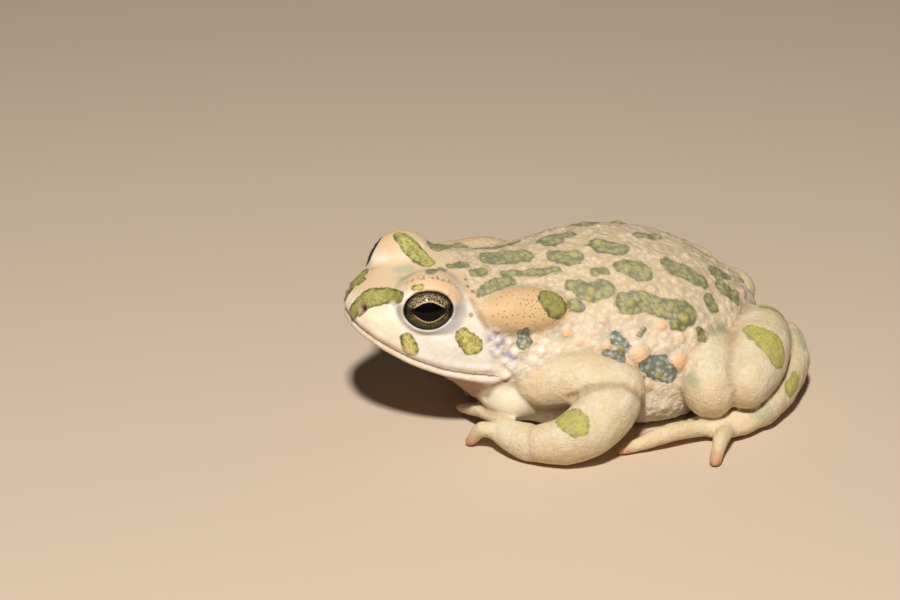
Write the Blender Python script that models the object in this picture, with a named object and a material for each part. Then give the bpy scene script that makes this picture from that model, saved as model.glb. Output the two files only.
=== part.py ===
"""An eastern green toad sitting on the floor, life size, as solids.

The toad faces -Y, its left side is +X and the floor is Z = 0. Inside the script a place on the animal is given
in millimetres as (left, back, up): to the left of the midline, behind the tip of the snout, above the floor.
"""

import math
import random

import bmesh
import bpy
from mathutils import Matrix, Vector
from mathutils.bvhtree import BVHTree

MM = 0.001
GAP = 0.3 * MM
SKIN_COLOUR = (0.72, 0.62, 0.46, 1.0)
LIMB_COLOUR = (0.80, 0.70, 0.47, 1.0)
EYE_COLOUR = (0.03, 0.03, 0.02, 1.0)

# Driving sizes of the animal, in millimetres
SNOUT_TO_VENT = 70.0
EYE_RADIUS = 4.1
EYE_PLACE = (6.5, 11.0, 22.6)
EYE_AXIS = (0.93, -0.27, 0.34)
EYE_OPENING = (3.7, 3.05)
EYE_OPENING_FLARE = 2.6
LID_PLACE = (5.9, 11.5, 23.3)
LID_RADII = (4.7, 5.4, 4.4)
PAROTOID_PLACE = (10.3, 25.4, 21.0)
PAROTOID_RADII = (3.6, 7.8, 2.5)
CHEST_PLACE = (10.4, 25.2, 6.6)
CHEST_RADII = (4.4, 6.2, 4.4)
TYMPANUM_PLACE = (11.0, 16.0, 21.3)
TYMPANUM_RADIUS = 1.1
NOSTRIL_PLACE = (2.7, 1.8, 22.3)
NOSTRIL_RADIUS = 0.5
MOUTH_CORNER = 20.0
MOUTH_DEPTH = 0.8
MOUTH_HEIGHT = 0.45
# The head is held a little turned about its own length, its right side higher: degrees, and the stretch of
# neck over which the turn fades out
HEAD_ROLL = 7.0
ROLL_FADE = (15.5, 25.0)
# The neck seam: a slanted plane behind the jaw, given by two points of it (back, up)
NECK_TOP = (17.9, 22.8)
NECK_FOOT = (21.4, 11.6)
WART_COUNT = 58
WART_RADII = (0.75, 1.55)
WART_SPACING = 1.9
WART_SEED = 11

# The trunk from snout to vent: back, half width, top, widest level, bottom, roundness above, roundness below.
# In the head the widest level is the mouth line.
TRUNK = (
    (0.9, 2.2, 20.9, 18.8, 17.4, 2.2, 2.2),
    (2.0, 4.6, 22.5, 18.2, 16.3, 2.3, 2.2),
    (4.2, 6.9, 23.9, 17.0, 14.5, 2.4, 2.3),
    (7.8, 9.3, 24.9, 15.2, 12.1, 2.5, 2.4),
    (12.0, 11.1, 25.5, 13.6, 9.7, 2.7, 2.4),
    (16.5, 12.2, 25.7, 12.4, 6.2, 2.6, 2.5),
    (21.0, 12.6, 25.4, 11.4, 2.8, 2.4, 2.7),
    (26.5, 13.8, 25.0, 10.6, -0.4, 2.2, 3.0),
    (33.0, 16.6, 25.0, 9.4, -0.7, 2.1, 3.5),
    (41.0, 19.3, 25.3, 8.2, -0.7, 2.1, 4.0),
    (49.0, 19.7, 24.6, 8.0, -0.7, 2.1, 4.0),
    (57.0, 16.8, 22.0, 8.6, -0.5, 2.1, 3.4),
    (63.0, 12.4, 18.0, 9.4, 1.4, 2.1, 2.6),
    (67.5, 7.6, 14.4, 9.6, 4.6, 2.1, 2.2),
    (70.0, 2.6, 11.2, 9.5, 7.6, 2.0, 2.0),
)
TRUNK_SIDES = 40
TRUNK_RINGS_PER_SPAN = 3


def place(left, back, up):
    """A place on the animal, in metres, with the trunk's middle over the origin."""
    return Vector((left, back - SNOUT_TO_VENT / 2, up)) * MM


def mirrored(point, side):
    return (point[0] * side, point[1], point[2])


def through(rows, per_span):
    """Rows of numbers joined by a smooth curve that passes through each of them."""
    out = []
    for i in range(len(rows) - 1):
        before = rows[max(i - 1, 0)]
        after = rows[min(i + 2, len(rows) - 1)]
        for step in range(per_span):
            t = step / per_span
            out.append(
                tuple(
                    0.5
                    * (
                        2 * b
                        + (c - a) * t
                        + (2 * a - 5 * b + 4 * c - d) * t * t
                        + (3 * b - a - 3 * c + d) * t**3
                    )
                    for a, b, c, d in zip(before, rows[i], rows[i + 1], after)
                )
            )
    out.append(tuple(rows[-1]))
    return out


def new_object(name, mesh):
    obj = bpy.data.objects.new(name, mesh)
    bpy.context.scene.collection.objects.link(obj)
    return obj


def lofted(name, rings):
    """A closed skin over rings of points, each end closed by a fan."""
    bm = bmesh.new()
    loops = [[bm.verts.new(p) for p in ring] for ring in rings]
    for low, high in zip(loops, loops[1:]):
        for i in range(len(low)):
            j = (i + 1) % len(low)
            bm.faces.new((low[i], low[j], high[j], high[i]))
    for ring, flip in ((loops[0], True), (loops[-1], False)):
        centre = bm.verts.new(sum((v.co for v in ring), Vector()) / len(ring))
        for i in range(len(ring)):
            j = (i + 1) % len(ring)
            corners = (ring[j], ring[i], centre) if flip else (ring[i], ring[j], centre)
            bm.faces.new(corners)
    bmesh.ops.recalc_face_normals(bm, faces=bm.faces)
    mesh = bpy.data.meshes.new(name)
    bm.to_mesh(mesh)
    bm.free()
    return new_object(name, mesh)


def trunk_rings():
    rings = []
    for back, width, top, side, bottom, above, below in through(TRUNK, TRUNK_RINGS_PER_SPAN):
        ring = []
        for i in range(TRUNK_SIDES):
            turn = 2 * math.pi * i / TRUNK_SIDES
            c, s = math.cos(turn), math.sin(turn)
            power = 2 / (above if s >= 0 else below)
            reach = top - side if s >= 0 else side - bottom
            x = width * math.copysign(abs(c) ** power, c)
            z = side + reach * math.copysign(abs(s) ** power, s)
            ring.append(place(x, back, z))
        rings.append(ring)
    return rings


def tube(name, rows, sides=12, per_span=2, cap_steps=3):
    """A limb along rows of (left, back, up, half width, half height), with a rounded cap at each end."""
    rows = through(rows, per_span)
    points = [place(*row[:3]) for row in rows]
    tangents = []
    for i in range(len(points)):
        tangents.append((points[min(i + 1, len(points) - 1)] - points[max(i - 1, 0)]).normalized())
    stations = []
    for end, sign in ((0, -1), (-1, 1)):
        cap = []
        for step in range(1, cap_steps + 1):
            turn = math.radians(78) * step / cap_steps
            reach = min(rows[end][3:]) * MM * math.sin(turn)
            cap.append((points[end] + tangents[end] * reach * sign, tangents[end], rows[end][3:], math.cos(turn)))
        stations.append(cap)
    middle = [(p, t, r[3:], 1.0) for p, t, r in zip(points, tangents, rows)]
    rings = []
    for point, tangent, (wide, high), share in stations[0][::-1] + middle + stations[1]:
        across = tangent.cross(Vector((0, 0, 1)))
        across = across.normalized() if across.length > 0.05 else Vector((1, 0, 0))
        over = across.cross(tangent)
        rings.append(
            [
                point
                + across * (wide * MM * share * math.cos(2 * math.pi * i / sides))
                + over * (high * MM * share * math.sin(2 * math.pi * i / sides))
                for i in range(sides)
            ]
        )
    return lofted(name, rings)


def bulb(name, centre, radii, axis=(0, 0, 1), along=(0, 1, 0), segments=20, rings=12):
    """An egg shape: radii across, along and out, with its third radius on axis and its second near along."""
    bm = bmesh.new()
    bmesh.ops.create_uvsphere(bm, u_segments=segments, v_segments=rings, radius=1.0)
    out = Vector(axis).normalized()
    forward = Vector(along)
    forward = (forward - out * forward.dot(out)).normalized()
    across = forward.cross(out)
    frame = Matrix((across, forward, out)).transposed().to_4x4()
    size = Matrix.Diagonal((*(r * MM for r in radii), 1.0))
    bmesh.ops.transform(bm, matrix=Matrix.Translation(place(*centre)) @ frame @ size, verts=bm.verts)
    mesh = bpy.data.meshes.new(name)
    bm.to_mesh(mesh)
    bm.free()
    return new_object(name, mesh)


def settled(obj):
    """The object with its modifiers made real."""
    bpy.context.view_layer.update()
    graph = bpy.context.evaluated_depsgraph_get()
    mesh = bpy.data.meshes.new_from_object(obj.evaluated_get(graph))
    obj.modifiers.clear()
    obj.data = mesh
    return obj


def joined(name, objects):
    """The objects as one mesh, their surfaces left as they are."""
    bm = bmesh.new()
    for obj in objects:
        bm.from_mesh(obj.data)
        bpy.data.objects.remove(obj)
    mesh = bpy.data.meshes.new(name)
    bm.to_mesh(mesh)
    bm.free()
    return new_object(name, mesh)


def fused(name, objects, voxel, smoothing, triangles):
    """The objects as one closed skin: remeshed, smoothed and thinned to about so many triangles."""
    whole = joined(name, objects)
    remesh = whole.modifiers.new("one skin", "REMESH")
    remesh.mode = "VOXEL"
    remesh.voxel_size = voxel * MM
    smooth = whole.modifiers.new("soft", "SMOOTH")
    smooth.factor = 0.5
    smooth.iterations = smoothing
    settled(whole)
    thin = whole.modifiers.new("thin", "DECIMATE")
    thin.ratio = min(1.0, triangles / (2 * len(whole.data.polygons)))
    return settled(whole)


def grown(obj, name):
    """A copy of a solid, larger by the gap between neighbours."""
    copy = new_object(name, obj.data.copy())
    swell = copy.modifiers.new("gap", "DISPLACE")
    swell.mid_level = 0.0
    swell.strength = GAP
    return settled(copy)


def combined(obj, other, operation):
    """The solid united with another, or less it, by one exact Boolean; the other is used up."""
    boolean = obj.modifiers.new("combine", "BOOLEAN")
    boolean.operation = operation
    boolean.solver = "EXACT"
    boolean.object = other
    settled(obj)
    bpy.data.objects.remove(other)
    return obj


def block(name, low, high):
    """A box between two corners given as (left, back, up)."""
    bm = bmesh.new()
    bmesh.ops.create_cube(bm, size=1.0)
    a, b = place(*low), place(*high)
    for v in bm.verts:
        v.co = Vector(((a[i] + b[i]) / 2 + v.co[i] * abs(b[i] - a[i]) for i in range(3)))
    mesh = bpy.data.meshes.new(name)
    bm.to_mesh(mesh)
    bm.free()
    return new_object(name, mesh)


def neck_block(name, behind):
    """A large block whose face is the neck seam, lying behind it or in front of it."""
    slope = (NECK_FOOT[0] - NECK_TOP[0]) / (NECK_FOOT[1] - NECK_TOP[1])
    shift = GAP / MM / 2 * (-1 if behind else 1) * math.hypot(1.0, slope)
    far = 90.0 if behind else -20.0
    rings = []
    for left in (-40.0, 40.0):
        corners = [(far, -10.0), (far, 40.0)]
        corners += [(NECK_TOP[0] + slope * (up - NECK_TOP[1]) + shift, up) for up in (40.0, -10.0)]
        rings.append([place(left, back, up) for back, up in corners])
    return lofted(name, rings)


def largest_surface(obj):
    """Keep only the largest closed surface, cleaned of specks and made of triangles."""
    bm = bmesh.new()
    bm.from_mesh(obj.data)
    bmesh.ops.triangulate(bm, faces=bm.faces, quad_method="SHORT_EDGE")
    bmesh.ops.remove_doubles(bm, verts=bm.verts, dist=0.012 * MM)
    bmesh.ops.dissolve_degenerate(bm, edges=bm.edges, dist=0.012 * MM)
    unseen = set(bm.verts)
    groups = []
    while unseen:
        stack = [unseen.pop()]
        group = []
        while stack:
            vert = stack.pop()
            group.append(vert)
            for edge in vert.link_edges:
                other = edge.other_vert(vert)
                if other in unseen:
                    unseen.remove(other)
                    stack.append(other)
        groups.append(group)
    groups.sort(key=len)
    for group in groups[:-1]:
        bmesh.ops.delete(bm, geom=group, context="VERTS")
    bmesh.ops.triangulate(bm, faces=bm.faces, quad_method="SHORT_EDGE")
    bmesh.ops.recalc_face_normals(bm, faces=bm.faces)
    bm.to_mesh(obj.data)
    bm.free()
    return obj


def finished(obj, colour, roughness):
    largest_surface(obj)
    material = bpy.data.materials.get(colour[0])
    if material is None:
        material = bpy.data.materials.new(colour[0])
        material.use_nodes = True
        shader = material.node_tree.nodes["Principled BSDF"]
        shader.inputs["Base Color"].default_value = colour[1]
        shader.inputs["Roughness"].default_value = roughness
    obj.data.materials.clear()
    obj.data.materials.append(material)
    return obj


# Limbs of the left side: rows of (left, back, up, half width, half height)
UPPER_ARM = (
    (8.5, 23.0, 8.0, 3.2, 3.4),
    (13.0, 27.6, 8.9, 3.9, 3.9),
    (17.4, 33.0, 10.9, 4.1, 4.1),
    (20.2, 37.2, 9.8, 4.1, 4.1),
)
FOREARM = (
    (21.0, 37.3, 9.3, 3.6, 3.8),
    (22.6, 34.2, 7.7, 4.3, 4.4),
    (23.2, 30.4, 5.4, 4.1, 4.3),
    (22.6, 26.8, 3.9, 3.2, 3.6),
    (21.2, 24.4, 3.3, 2.8, 3.1),
)
THIGH = (
    (6.0, 59.5, 10.4, 4.6, 5.0),
    (12.0, 56.6, 9.9, 4.8, 4.9),
    (17.4, 53.8, 9.4, 4.5, 4.8),
    (22.4, 51.8, 7.6, 4.1, 4.5),
)
SHANK = (
    (23.6, 57.6, 8.4, 3.9, 4.2),
    (20.0, 61.0, 9.4, 4.9, 4.9),
    (14.5, 64.8, 10.0, 4.9, 4.9),
    (9.8, 67.6, 9.0, 4.0, 4.2),
)
TARSUS = (
    (10.5, 71.0, 6.4, 3.6, 3.6),
    (14.8, 69.8, 5.4, 3.6, 3.6),
    (19.6, 65.4, 4.2, 3.5, 3.4),
    (23.4, 60.0, 3.1, 3.3, 2.8),
)
PALM = (
    (21.0, 24.0, 2.9, 2.6, 2.8),
    (18.4, 22.2, 2.9, 2.9, 2.6),
    (15.6, 20.6, 3.0, 2.6, 1.9),
    (14.0, 20.0, 3.1, 1.8, 1.3),
)
# Fingers and toes, inner one first: root, middle and tip, then the half width at the root and at the tip
FINGERS = (
    ((18.2, 23.4, 1.5), (16.8, 25.4, 1.7), (15.6, 27.4, 0.7), 1.1, 0.75),
    ((15.6, 21.4, 1.6), (12.6, 21.8, 1.7), (9.8, 22.0, 0.7), 1.1, 0.75),
    ((13.8, 21.2, 3.3), (8.6, 19.6, 3.4), (3.0, 18.0, 1.6), 1.1, 0.75),
    ((15.2, 20.0, 3.0), (13.6, 17.2, 3.5), (12.2, 15.8, 0.7), 1.2, 0.75),
)
METATARSUS = (
    (22.8, 60.2, 2.3, 2.9, 2.1),
    (24.2, 56.6, 2.2, 3.0, 1.9),
    (24.6, 53.4, 2.0, 2.8, 1.5),
    (24.4, 51.4, 1.7, 1.8, 1.0),
)
TOES = (
    ((22.4, 56.8, 1.4), (21.0, 53.8, 1.5), (20.6, 51.4, 0.7), 1.1, 0.75),
    ((23.0, 54.6, 1.5), (21.6, 50.0, 1.6), (21.2, 46.4, 0.7), 1.1, 0.75),
    ((23.8, 53.0, 1.7), (22.4, 46.6, 1.7), (21.4, 41.4, 0.7), 1.15, 0.75),
    ((24.4, 52.4, 2.1), (24.2, 44.4, 2.5), (23.6, 36.4, 0.8), 1.35, 0.75),
    ((25.4, 54.0, 2.0), (28.8, 50.8, 2.6), (32.0, 48.2, 0.8), 1.3, 0.85),
)
# The limbs of the right side lie a little nearer to the body and further back than those of the left, with
# the knee and the hand lower
RIGHT_ARM_SHIFT = (-1.0, 3.4, 0.0)
RIGHT_HAND_SHIFT = (-1.0, 3.4, -1.3)
RIGHT_KNEE_SHIFT = (-1.6, 1.6, -1.2)
RIGHT_LEG_SHIFT = (-1.6, 1.6, 0.0)


def digit(name, root, middle, tip, wide, fine):
    """A finger or toe: a tapering tube with its knuckle a little thicker."""
    rows = (
        (*root, wide, wide),
        (*(a * 0.55 + b * 0.45 for a, b in zip(root, middle)), wide * 0.9, wide * 0.9),
        (*middle, wide * 0.95, wide * 0.95),
        (*(a * 0.5 + b * 0.5 for a, b in zip(middle, tip)), wide * 0.5 + fine * 0.42, wide * 0.5 + fine * 0.42),
        (*tip, fine, fine),
    )
    return tube(name, rows, sides=10, per_span=2, cap_steps=2)


def limb_rows(rows, side, shift):
    """The rows of one side; for the right, mirrored and shifted, but never through the floor."""
    if side > 0:
        return [tuple(row) for row in rows]
    out = []
    for left, back, up, wide, high in rows:
        lowered = max(up + shift[2], min(up, high))
        out.append((-(left + shift[0]), back + shift[1], lowered, wide, high))
    return out


def wider(rows):
    """The rows of a tube that is larger by the gap."""
    return [(*row[:3], row[3] + GAP / MM, row[4] + GAP / MM) for row in rows]


def trunk_row(back):
    rows = through(TRUNK, TRUNK_RINGS_PER_SPAN)
    for low, high in zip(rows, rows[1:]):
        if low[0] <= back <= high[0]:
            t = (back - low[0]) / (high[0] - low[0])
            return tuple(a + (b - a) * t for a, b in zip(low, high))
    return rows[-1]


def trunk_solid():
    """Snout to vent in one skin, with the lid mounds, the parotoid glands and the full chest."""
    parts = [lofted("trunk loft", trunk_rings())]
    for side in (1, -1):
        parts.append(bulb("lid", mirrored(LID_PLACE, side), LID_RADII))
        parts.append(bulb("chest", mirrored(CHEST_PLACE, side), CHEST_RADII))
        parts.append(
            bulb("parotoid", mirrored(PAROTOID_PLACE, side), PAROTOID_RADII,
                 axis=(0.62 * side, 0, 0.78), along=(0.16 * side, 1, -0.05))
        )
    return rolled(fused("trunk", parts, 0.62, 3, 4000))


def rolled_point(spot):
    """Where the turn of the head takes a place on it; the pivot is a level line through the left eye."""
    pivot = place(EYE_PLACE[0], 0.0, EYE_PLACE[2])
    back = spot.y / MM + SNOUT_TO_VENT / 2
    share = min(1.0, max(0.0, (ROLL_FADE[1] - back) / (ROLL_FADE[1] - ROLL_FADE[0])))
    turn = math.radians(HEAD_ROLL) * share * share * (3 - 2 * share)
    x, z = spot.x - pivot.x, spot.z - pivot.z
    c, s = math.cos(turn), math.sin(turn)
    return Vector((pivot.x + x * c + z * s, spot.y, pivot.z - x * s + z * c))


def rolled(obj):
    for v in obj.data.vertices:
        v.co = rolled_point(v.co)
    return obj


def mouth_cutter():
    """A thin ribbon along the jaw line, round the snout from one corner of the mouth to the other."""
    backs = [MOUTH_CORNER - i * (MOUTH_CORNER - 1.6) / 9 for i in range(10)]
    left = [(trunk_row(b)[1], b, trunk_row(b)[3]) for b in backs]
    path = left + [(1.5, 0.75, 18.8), (0.0, 0.5, 18.85), (-1.5, 0.75, 18.8)]
    path += [mirrored(p, -1) for p in reversed(left)]
    rings = []
    for i, point in enumerate(path):
        a, b = path[max(i - 1, 0)], path[min(i + 1, len(path) - 1)]
        outward = Vector((-(b[1] - a[1]), b[0] - a[0], 0)).normalized()
        depth = MOUTH_DEPTH if 0 < i < len(path) - 1 else 0.25
        ring = []
        for reach, rise in ((1.6, -0.5), (1.6, 0.5), (-depth, 0.5), (-depth, -0.5)):
            height = MOUTH_HEIGHT * rise * (1.6 if reach > 0 else 1.0)
            ring.append(place(point[0] - outward.x * reach, point[1] - outward.y * reach, point[2] + height))
        rings.append(ring)
    return rolled(lofted("mouth", rings))


def eye_opening(side):
    """A flaring oval cutter along the axis of the eye: what it takes away leaves the two lids."""
    axis = Vector(mirrored(EYE_AXIS, side)).normalized()
    level = axis.cross(Vector((0, 0, 1))).normalized()
    rise = level.cross(axis)
    centre = place(*mirrored(EYE_PLACE, side))
    rings = []
    for reach, flare in ((0.6, 0.0), (2.2, 0.0), (8.6, EYE_OPENING_FLARE)):
        ring = []
        for i in range(28):
            turn = 2 * math.pi * i / 28
            across = level * (EYE_OPENING[0] + flare) * math.cos(turn)
            ring.append(centre + (axis * reach + across + rise * (EYE_OPENING[1] + flare) * math.sin(turn)) * MM)
        rings.append(ring)
    return rolled(lofted("opening", rings))


def on_surface(tree, point):
    """The nearest place on a surface and the direction out of it there."""
    spot, normal, _, _ = tree.find_nearest(rolled_point(place(*point)))
    return spot, normal


def dome(name, spot, normal, radius, height, sides=7):
    """A low raised mound at a place on the skin, with its root sunk in it."""
    bm = bmesh.new()
    rings = [(1.0, -0.6), (0.97, 0.1), (0.6, 0.8)]
    frame = normal.to_track_quat("Z", "Y").to_matrix()
    loops = []
    for wide, high in rings:
        loops.append(
            [
                bm.verts.new(
                    spot
                    + frame
                    @ Vector(
                        (
                            radius * wide * math.cos(2 * math.pi * i / sides),
                            radius * wide * math.sin(2 * math.pi * i / sides),
                            height * high,
                        )
                    )
                    * MM
                )
                for i in range(sides)
            ]
        )
    for low, high in zip(loops, loops[1:]):
        for i in range(sides):
            j = (i + 1) % sides
            bm.faces.new((low[i], low[j], high[j], high[i]))
    bm.faces.new(loops[0][::-1])
    peak = bm.verts.new(spot + normal * height * MM)
    for i in range(sides):
        bm.faces.new((loops[-1][i], loops[-1][(i + 1) % sides], peak))
    bmesh.ops.recalc_face_normals(bm, faces=bm.faces)
    mesh = bpy.data.meshes.new(name)
    bm.to_mesh(mesh)
    bm.free()
    return new_object(name, mesh)


def too_near(tree, spot, reach):
    """Whether a place is inside a solid or within reach of its surface."""
    near, normal, _, distance = tree.find_nearest(spot)
    return distance < reach or (spot - near).dot(normal) < 0


def wart_domes(torso, tree, keep_off):
    """Warts over the back and flanks, spread by a seeded draw and kept off the limbs and the seam."""
    draw = random.Random(WART_SEED)
    points = torso.data.vertices
    spots = []
    domes = []
    tries = 0
    while len(domes) < WART_COUNT and tries < 4000:
        tries += 1
        back = draw.uniform(24.0, 66.0)
        turn = math.radians(draw.uniform(-12.0, 192.0))
        row = trunk_row(back)
        outward = Vector((math.cos(turn), 0.0, math.sin(turn)))
        origin = place(0.0, back, row[3])
        spot, normal, _, _ = tree.ray_cast(origin + outward * 0.06, -outward)
        if spot is None:
            continue
        radius = draw.uniform(*WART_RADII) if draw.random() < 0.45 else draw.uniform(WART_RADII[0], 1.0)
        if any((spot - other).length < (radius + reach + WART_SPACING * 0.35) * MM for other, reach in spots):
            continue
        if min((spot - centre).length for centre in keep_off["parotoid"]) < 4.2 * MM:
            continue
        if any(too_near(limb, spot, (radius + 1.0) * MM) for limb in keep_off["limbs"]):
            continue
        neck = NECK_TOP[0] + (NECK_FOOT[0] - NECK_TOP[0]) * (spot.z / MM - NECK_TOP[1]) / (NECK_FOOT[1] - NECK_TOP[1])
        if spot.y / MM + SNOUT_TO_VENT / 2 < neck + radius + 1.2:
            continue
        spots.append((spot, radius))
        domes.append(dome("wart", spot, normal, radius, radius * 0.45))
    print("warts", len(domes), "of", len(points), "points")
    return domes


def tree_of(obj):
    bm = bmesh.new()
    bm.from_mesh(obj.data)
    tree = BVHTree.FromBMesh(bm)
    bm.free()
    return tree


def main():
    for obj in list(bpy.data.objects):
        bpy.data.objects.remove(obj)
    skin = ("skin", SKIN_COLOUR)
    limb = ("limb skin", LIMB_COLOUR)
    wet = ("eye", EYE_COLOUR)
    trunk = trunk_solid()
    trunk_tree = tree_of(trunk)
    sides = ((1, "left"), (-1, "right"))

    # Limbs
    nodes = []
    limb_trees = []
    for side, word in sides:
        arm = [limb_rows(rows, side, RIGHT_ARM_SHIFT) for rows in (UPPER_ARM, FOREARM)]
        arm.append(limb_rows(PALM, side, RIGHT_HAND_SHIFT))
        leg = [limb_rows(rows, side, RIGHT_KNEE_SHIFT) for rows in (THIGH, SHANK)]
        leg += [limb_rows(rows, side, RIGHT_LEG_SHIFT) for rows in (TARSUS, METATARSUS)]
        hand_parts = [tube("palm", arm[2])]
        for root, middle, tip, wide, fine in FINGERS:
            rows = limb_rows([(*p, wide, fine) for p in (root, middle, tip)], side, RIGHT_HAND_SHIFT)
            hand_parts.append(digit("finger", *(r[:3] for r in rows), wide, fine))
        foot_parts = [tube("metatarsus", leg[3])]
        for root, middle, tip, wide, fine in TOES:
            rows = limb_rows([(*p, wide, fine) for p in (root, middle, tip)], side, RIGHT_LEG_SHIFT)
            foot_parts.append(digit("toe", *(r[:3] for r in rows), wide, fine))
        made = {
            "upper_arm": tube("upper_arm_" + word, arm[0]),
            "forearm": tube("forearm_" + word, arm[1]),
            "hand": fused("hand_" + word, hand_parts, 0.42, 3, 760),
            "thigh": tube("thigh_" + word, leg[0]),
            "shank": tube("shank_" + word, leg[1]),
            "tarsus": tube("tarsus_" + word, leg[2]),
            "foot": fused("foot_" + word, foot_parts, 0.42, 3, 860),
        }
        wide_rows = {"upper_arm": arm[0], "forearm": arm[1], "thigh": leg[0], "shank": leg[1], "tarsus": leg[2]}
        cuts = {
            "upper_arm": (),
            "forearm": ("upper_arm",),
            "hand": ("forearm",),
            "thigh": (),
            "shank": ("thigh",),
            "tarsus": ("shank", "thigh"),
            "foot": ("tarsus", "shank", "thigh"),
        }
        for name, others in cuts.items():
            limb_trees.append(tree_of(made[name]))
            combined(made[name], grown(trunk, "cutter"), "DIFFERENCE")
            for other in others:
                combined(made[name], tube("cutter", wider(wide_rows[other])), "DIFFERENCE")
            combined(made[name], block("floor", (-60, -20, -12), (60, 100, 0)), "DIFFERENCE")
            nodes.append(finished(made[name], limb, 0.5))

    # Head and torso
    combined(trunk, block("floor", (-60, -20, -12), (60, 100, 0)), "DIFFERENCE")
    head = new_object("head", trunk.data.copy())
    torso = new_object("torso", trunk.data.copy())
    bpy.data.objects.remove(trunk)
    combined(head, neck_block("behind", True), "DIFFERENCE")
    combined(torso, neck_block("before", False), "DIFFERENCE")
    combined(head, mouth_cutter(), "DIFFERENCE")
    for side, word in sides:
        socket = bulb("socket", mirrored(EYE_PLACE, side), (EYE_RADIUS + GAP / MM,) * 3, segments=26, rings=16)
        combined(head, rolled(socket), "DIFFERENCE")
        combined(head, eye_opening(side), "DIFFERENCE")
        spot, normal = on_surface(trunk_tree, mirrored(NOSTRIL_PLACE, side))
        pit = bulb("nostril", mirrored(NOSTRIL_PLACE, side), (NOSTRIL_RADIUS,) * 3, segments=12, rings=8)
        for v in pit.data.vertices:
            v.co += spot - place(*mirrored(NOSTRIL_PLACE, side))
        combined(head, pit, "DIFFERENCE")
        spot, normal = on_surface(trunk_tree, mirrored(TYMPANUM_PLACE, side))
        combined(head, dome("tympanum", spot, normal, TYMPANUM_RADIUS, 0.4, sides=18), "UNION")
        ball = bulb("eye_" + word, mirrored(EYE_PLACE, side), (EYE_RADIUS,) * 3, axis=mirrored(EYE_AXIS, side))
        nodes.append(finished(rolled(ball), wet, 0.1))
    keep_off = {"limbs": limb_trees, "parotoid": []}
    for side in (1, -1):
        for step in range(-5, 6):
            left, back, up = mirrored(PAROTOID_PLACE, side)
            keep_off["parotoid"].append(place(left + 0.16 * side * step, back + step * 1.2, up))
    combined(torso, joined("warts", wart_domes(torso, trunk_tree, keep_off)), "UNION")
    nodes.append(finished(head, skin, 0.55))
    nodes.append(finished(torso, skin, 0.6))

    # The frame: its origin under the middle of the whole, on the floor
    lows = [min(v.co[i] for o in nodes for v in o.data.vertices) for i in range(3)]
    highs = [max(v.co[i] for o in nodes for v in o.data.vertices) for i in range(3)]
    middle = Vector(((lows[0] + highs[0]) / 2, (lows[1] + highs[1]) / 2, lows[2]))
    for obj in nodes:
        for v in obj.data.vertices:
            v.co -= middle
        print(obj.name, len(obj.data.polygons))
    print("size", [round((b - a) / MM, 2) for a, b in zip(lows, highs)], "middle", [round(m / MM, 3) for m in middle])


if __name__ == "__main__":
    main()
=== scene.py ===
# %% [markdown]
# # An eastern green toad, life size
# The toad sits low on its belly with its legs folded, and it never moves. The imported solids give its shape
# and size. This script covers them with one warty skin, paints that skin with a procedural material, and
# sets two detailed eyes into it.

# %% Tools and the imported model
import itertools
import math
import random

import bmesh
import bpy
import numpy as np
from mathutils import Matrix, Vector, noise
from mathutils.bvhtree import BVHTree
from mathutils.kdtree import KDTree


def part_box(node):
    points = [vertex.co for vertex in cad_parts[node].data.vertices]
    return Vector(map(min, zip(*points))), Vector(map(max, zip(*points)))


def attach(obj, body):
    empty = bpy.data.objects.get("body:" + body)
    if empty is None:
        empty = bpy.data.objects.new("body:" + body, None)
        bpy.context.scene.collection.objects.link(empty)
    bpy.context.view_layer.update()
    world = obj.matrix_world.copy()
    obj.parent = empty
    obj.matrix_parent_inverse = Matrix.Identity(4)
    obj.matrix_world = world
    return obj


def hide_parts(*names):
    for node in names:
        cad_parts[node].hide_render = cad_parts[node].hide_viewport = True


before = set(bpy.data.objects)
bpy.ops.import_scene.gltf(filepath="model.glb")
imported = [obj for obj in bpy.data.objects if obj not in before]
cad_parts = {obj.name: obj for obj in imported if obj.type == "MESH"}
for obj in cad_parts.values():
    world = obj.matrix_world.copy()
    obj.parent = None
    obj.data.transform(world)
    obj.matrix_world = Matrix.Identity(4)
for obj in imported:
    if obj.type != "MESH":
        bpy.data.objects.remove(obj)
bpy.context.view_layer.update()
MM = 0.001

# %% [markdown]
# Sizes on the animal are easiest to give from the animal itself: millimetres to the left of its midline,
# behind the tip of its snout and above the floor. The left eye is a known way from both, so it fixes them.
# The toad holds its head a little turned about its own length, right side up, and the turn fades out along
# the neck. What is mirrored from the left to the right is first put straight, then mirrored, then turned.

# %% Places on the animal
EYE_PLACE = (6.5, 11.0, 22.6)
EYE_RADIUS = 4.1
EYE_AXIS = Vector((0.93, -0.27, 0.34)).normalized()
# The right eye looks a little further forward, so that its edge shows past the far lid
RIGHT_EYE_TURN = math.radians(24.0)
HEAD_ROLL = math.radians(7.0)
ROLL_FADE = (15.5, 25.0)


def middle_of(node):
    low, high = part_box(node)
    return (low + high) / 2


MIDLINE = middle_of("eye_left").x - EYE_PLACE[0] * MM
SNOUT = middle_of("eye_left").y - EYE_PLACE[1] * MM
ORIGIN = np.array((MIDLINE, SNOUT, 0.0))


def place(left, back, up):
    return Vector((MIDLINE + left * MM, SNOUT + back * MM, up * MM))


def on_animal(points):
    """Places in metres as (left, back, up) in millimetres."""
    return (np.array(points) - ORIGIN) / MM


def vertex_rows(obj, what):
    """One property of all vertices of an object, as rows of three."""
    flat = np.empty(len(obj.data.vertices) * 3, np.float32)
    obj.data.vertices.foreach_get(what, flat)
    return flat.reshape(-1, 3).astype(np.float64)


def soft_step(value, low, high):
    share = np.clip((value - low) / (high - low), 0.0, 1.0)
    return share * share * (3 - 2 * share)


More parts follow.
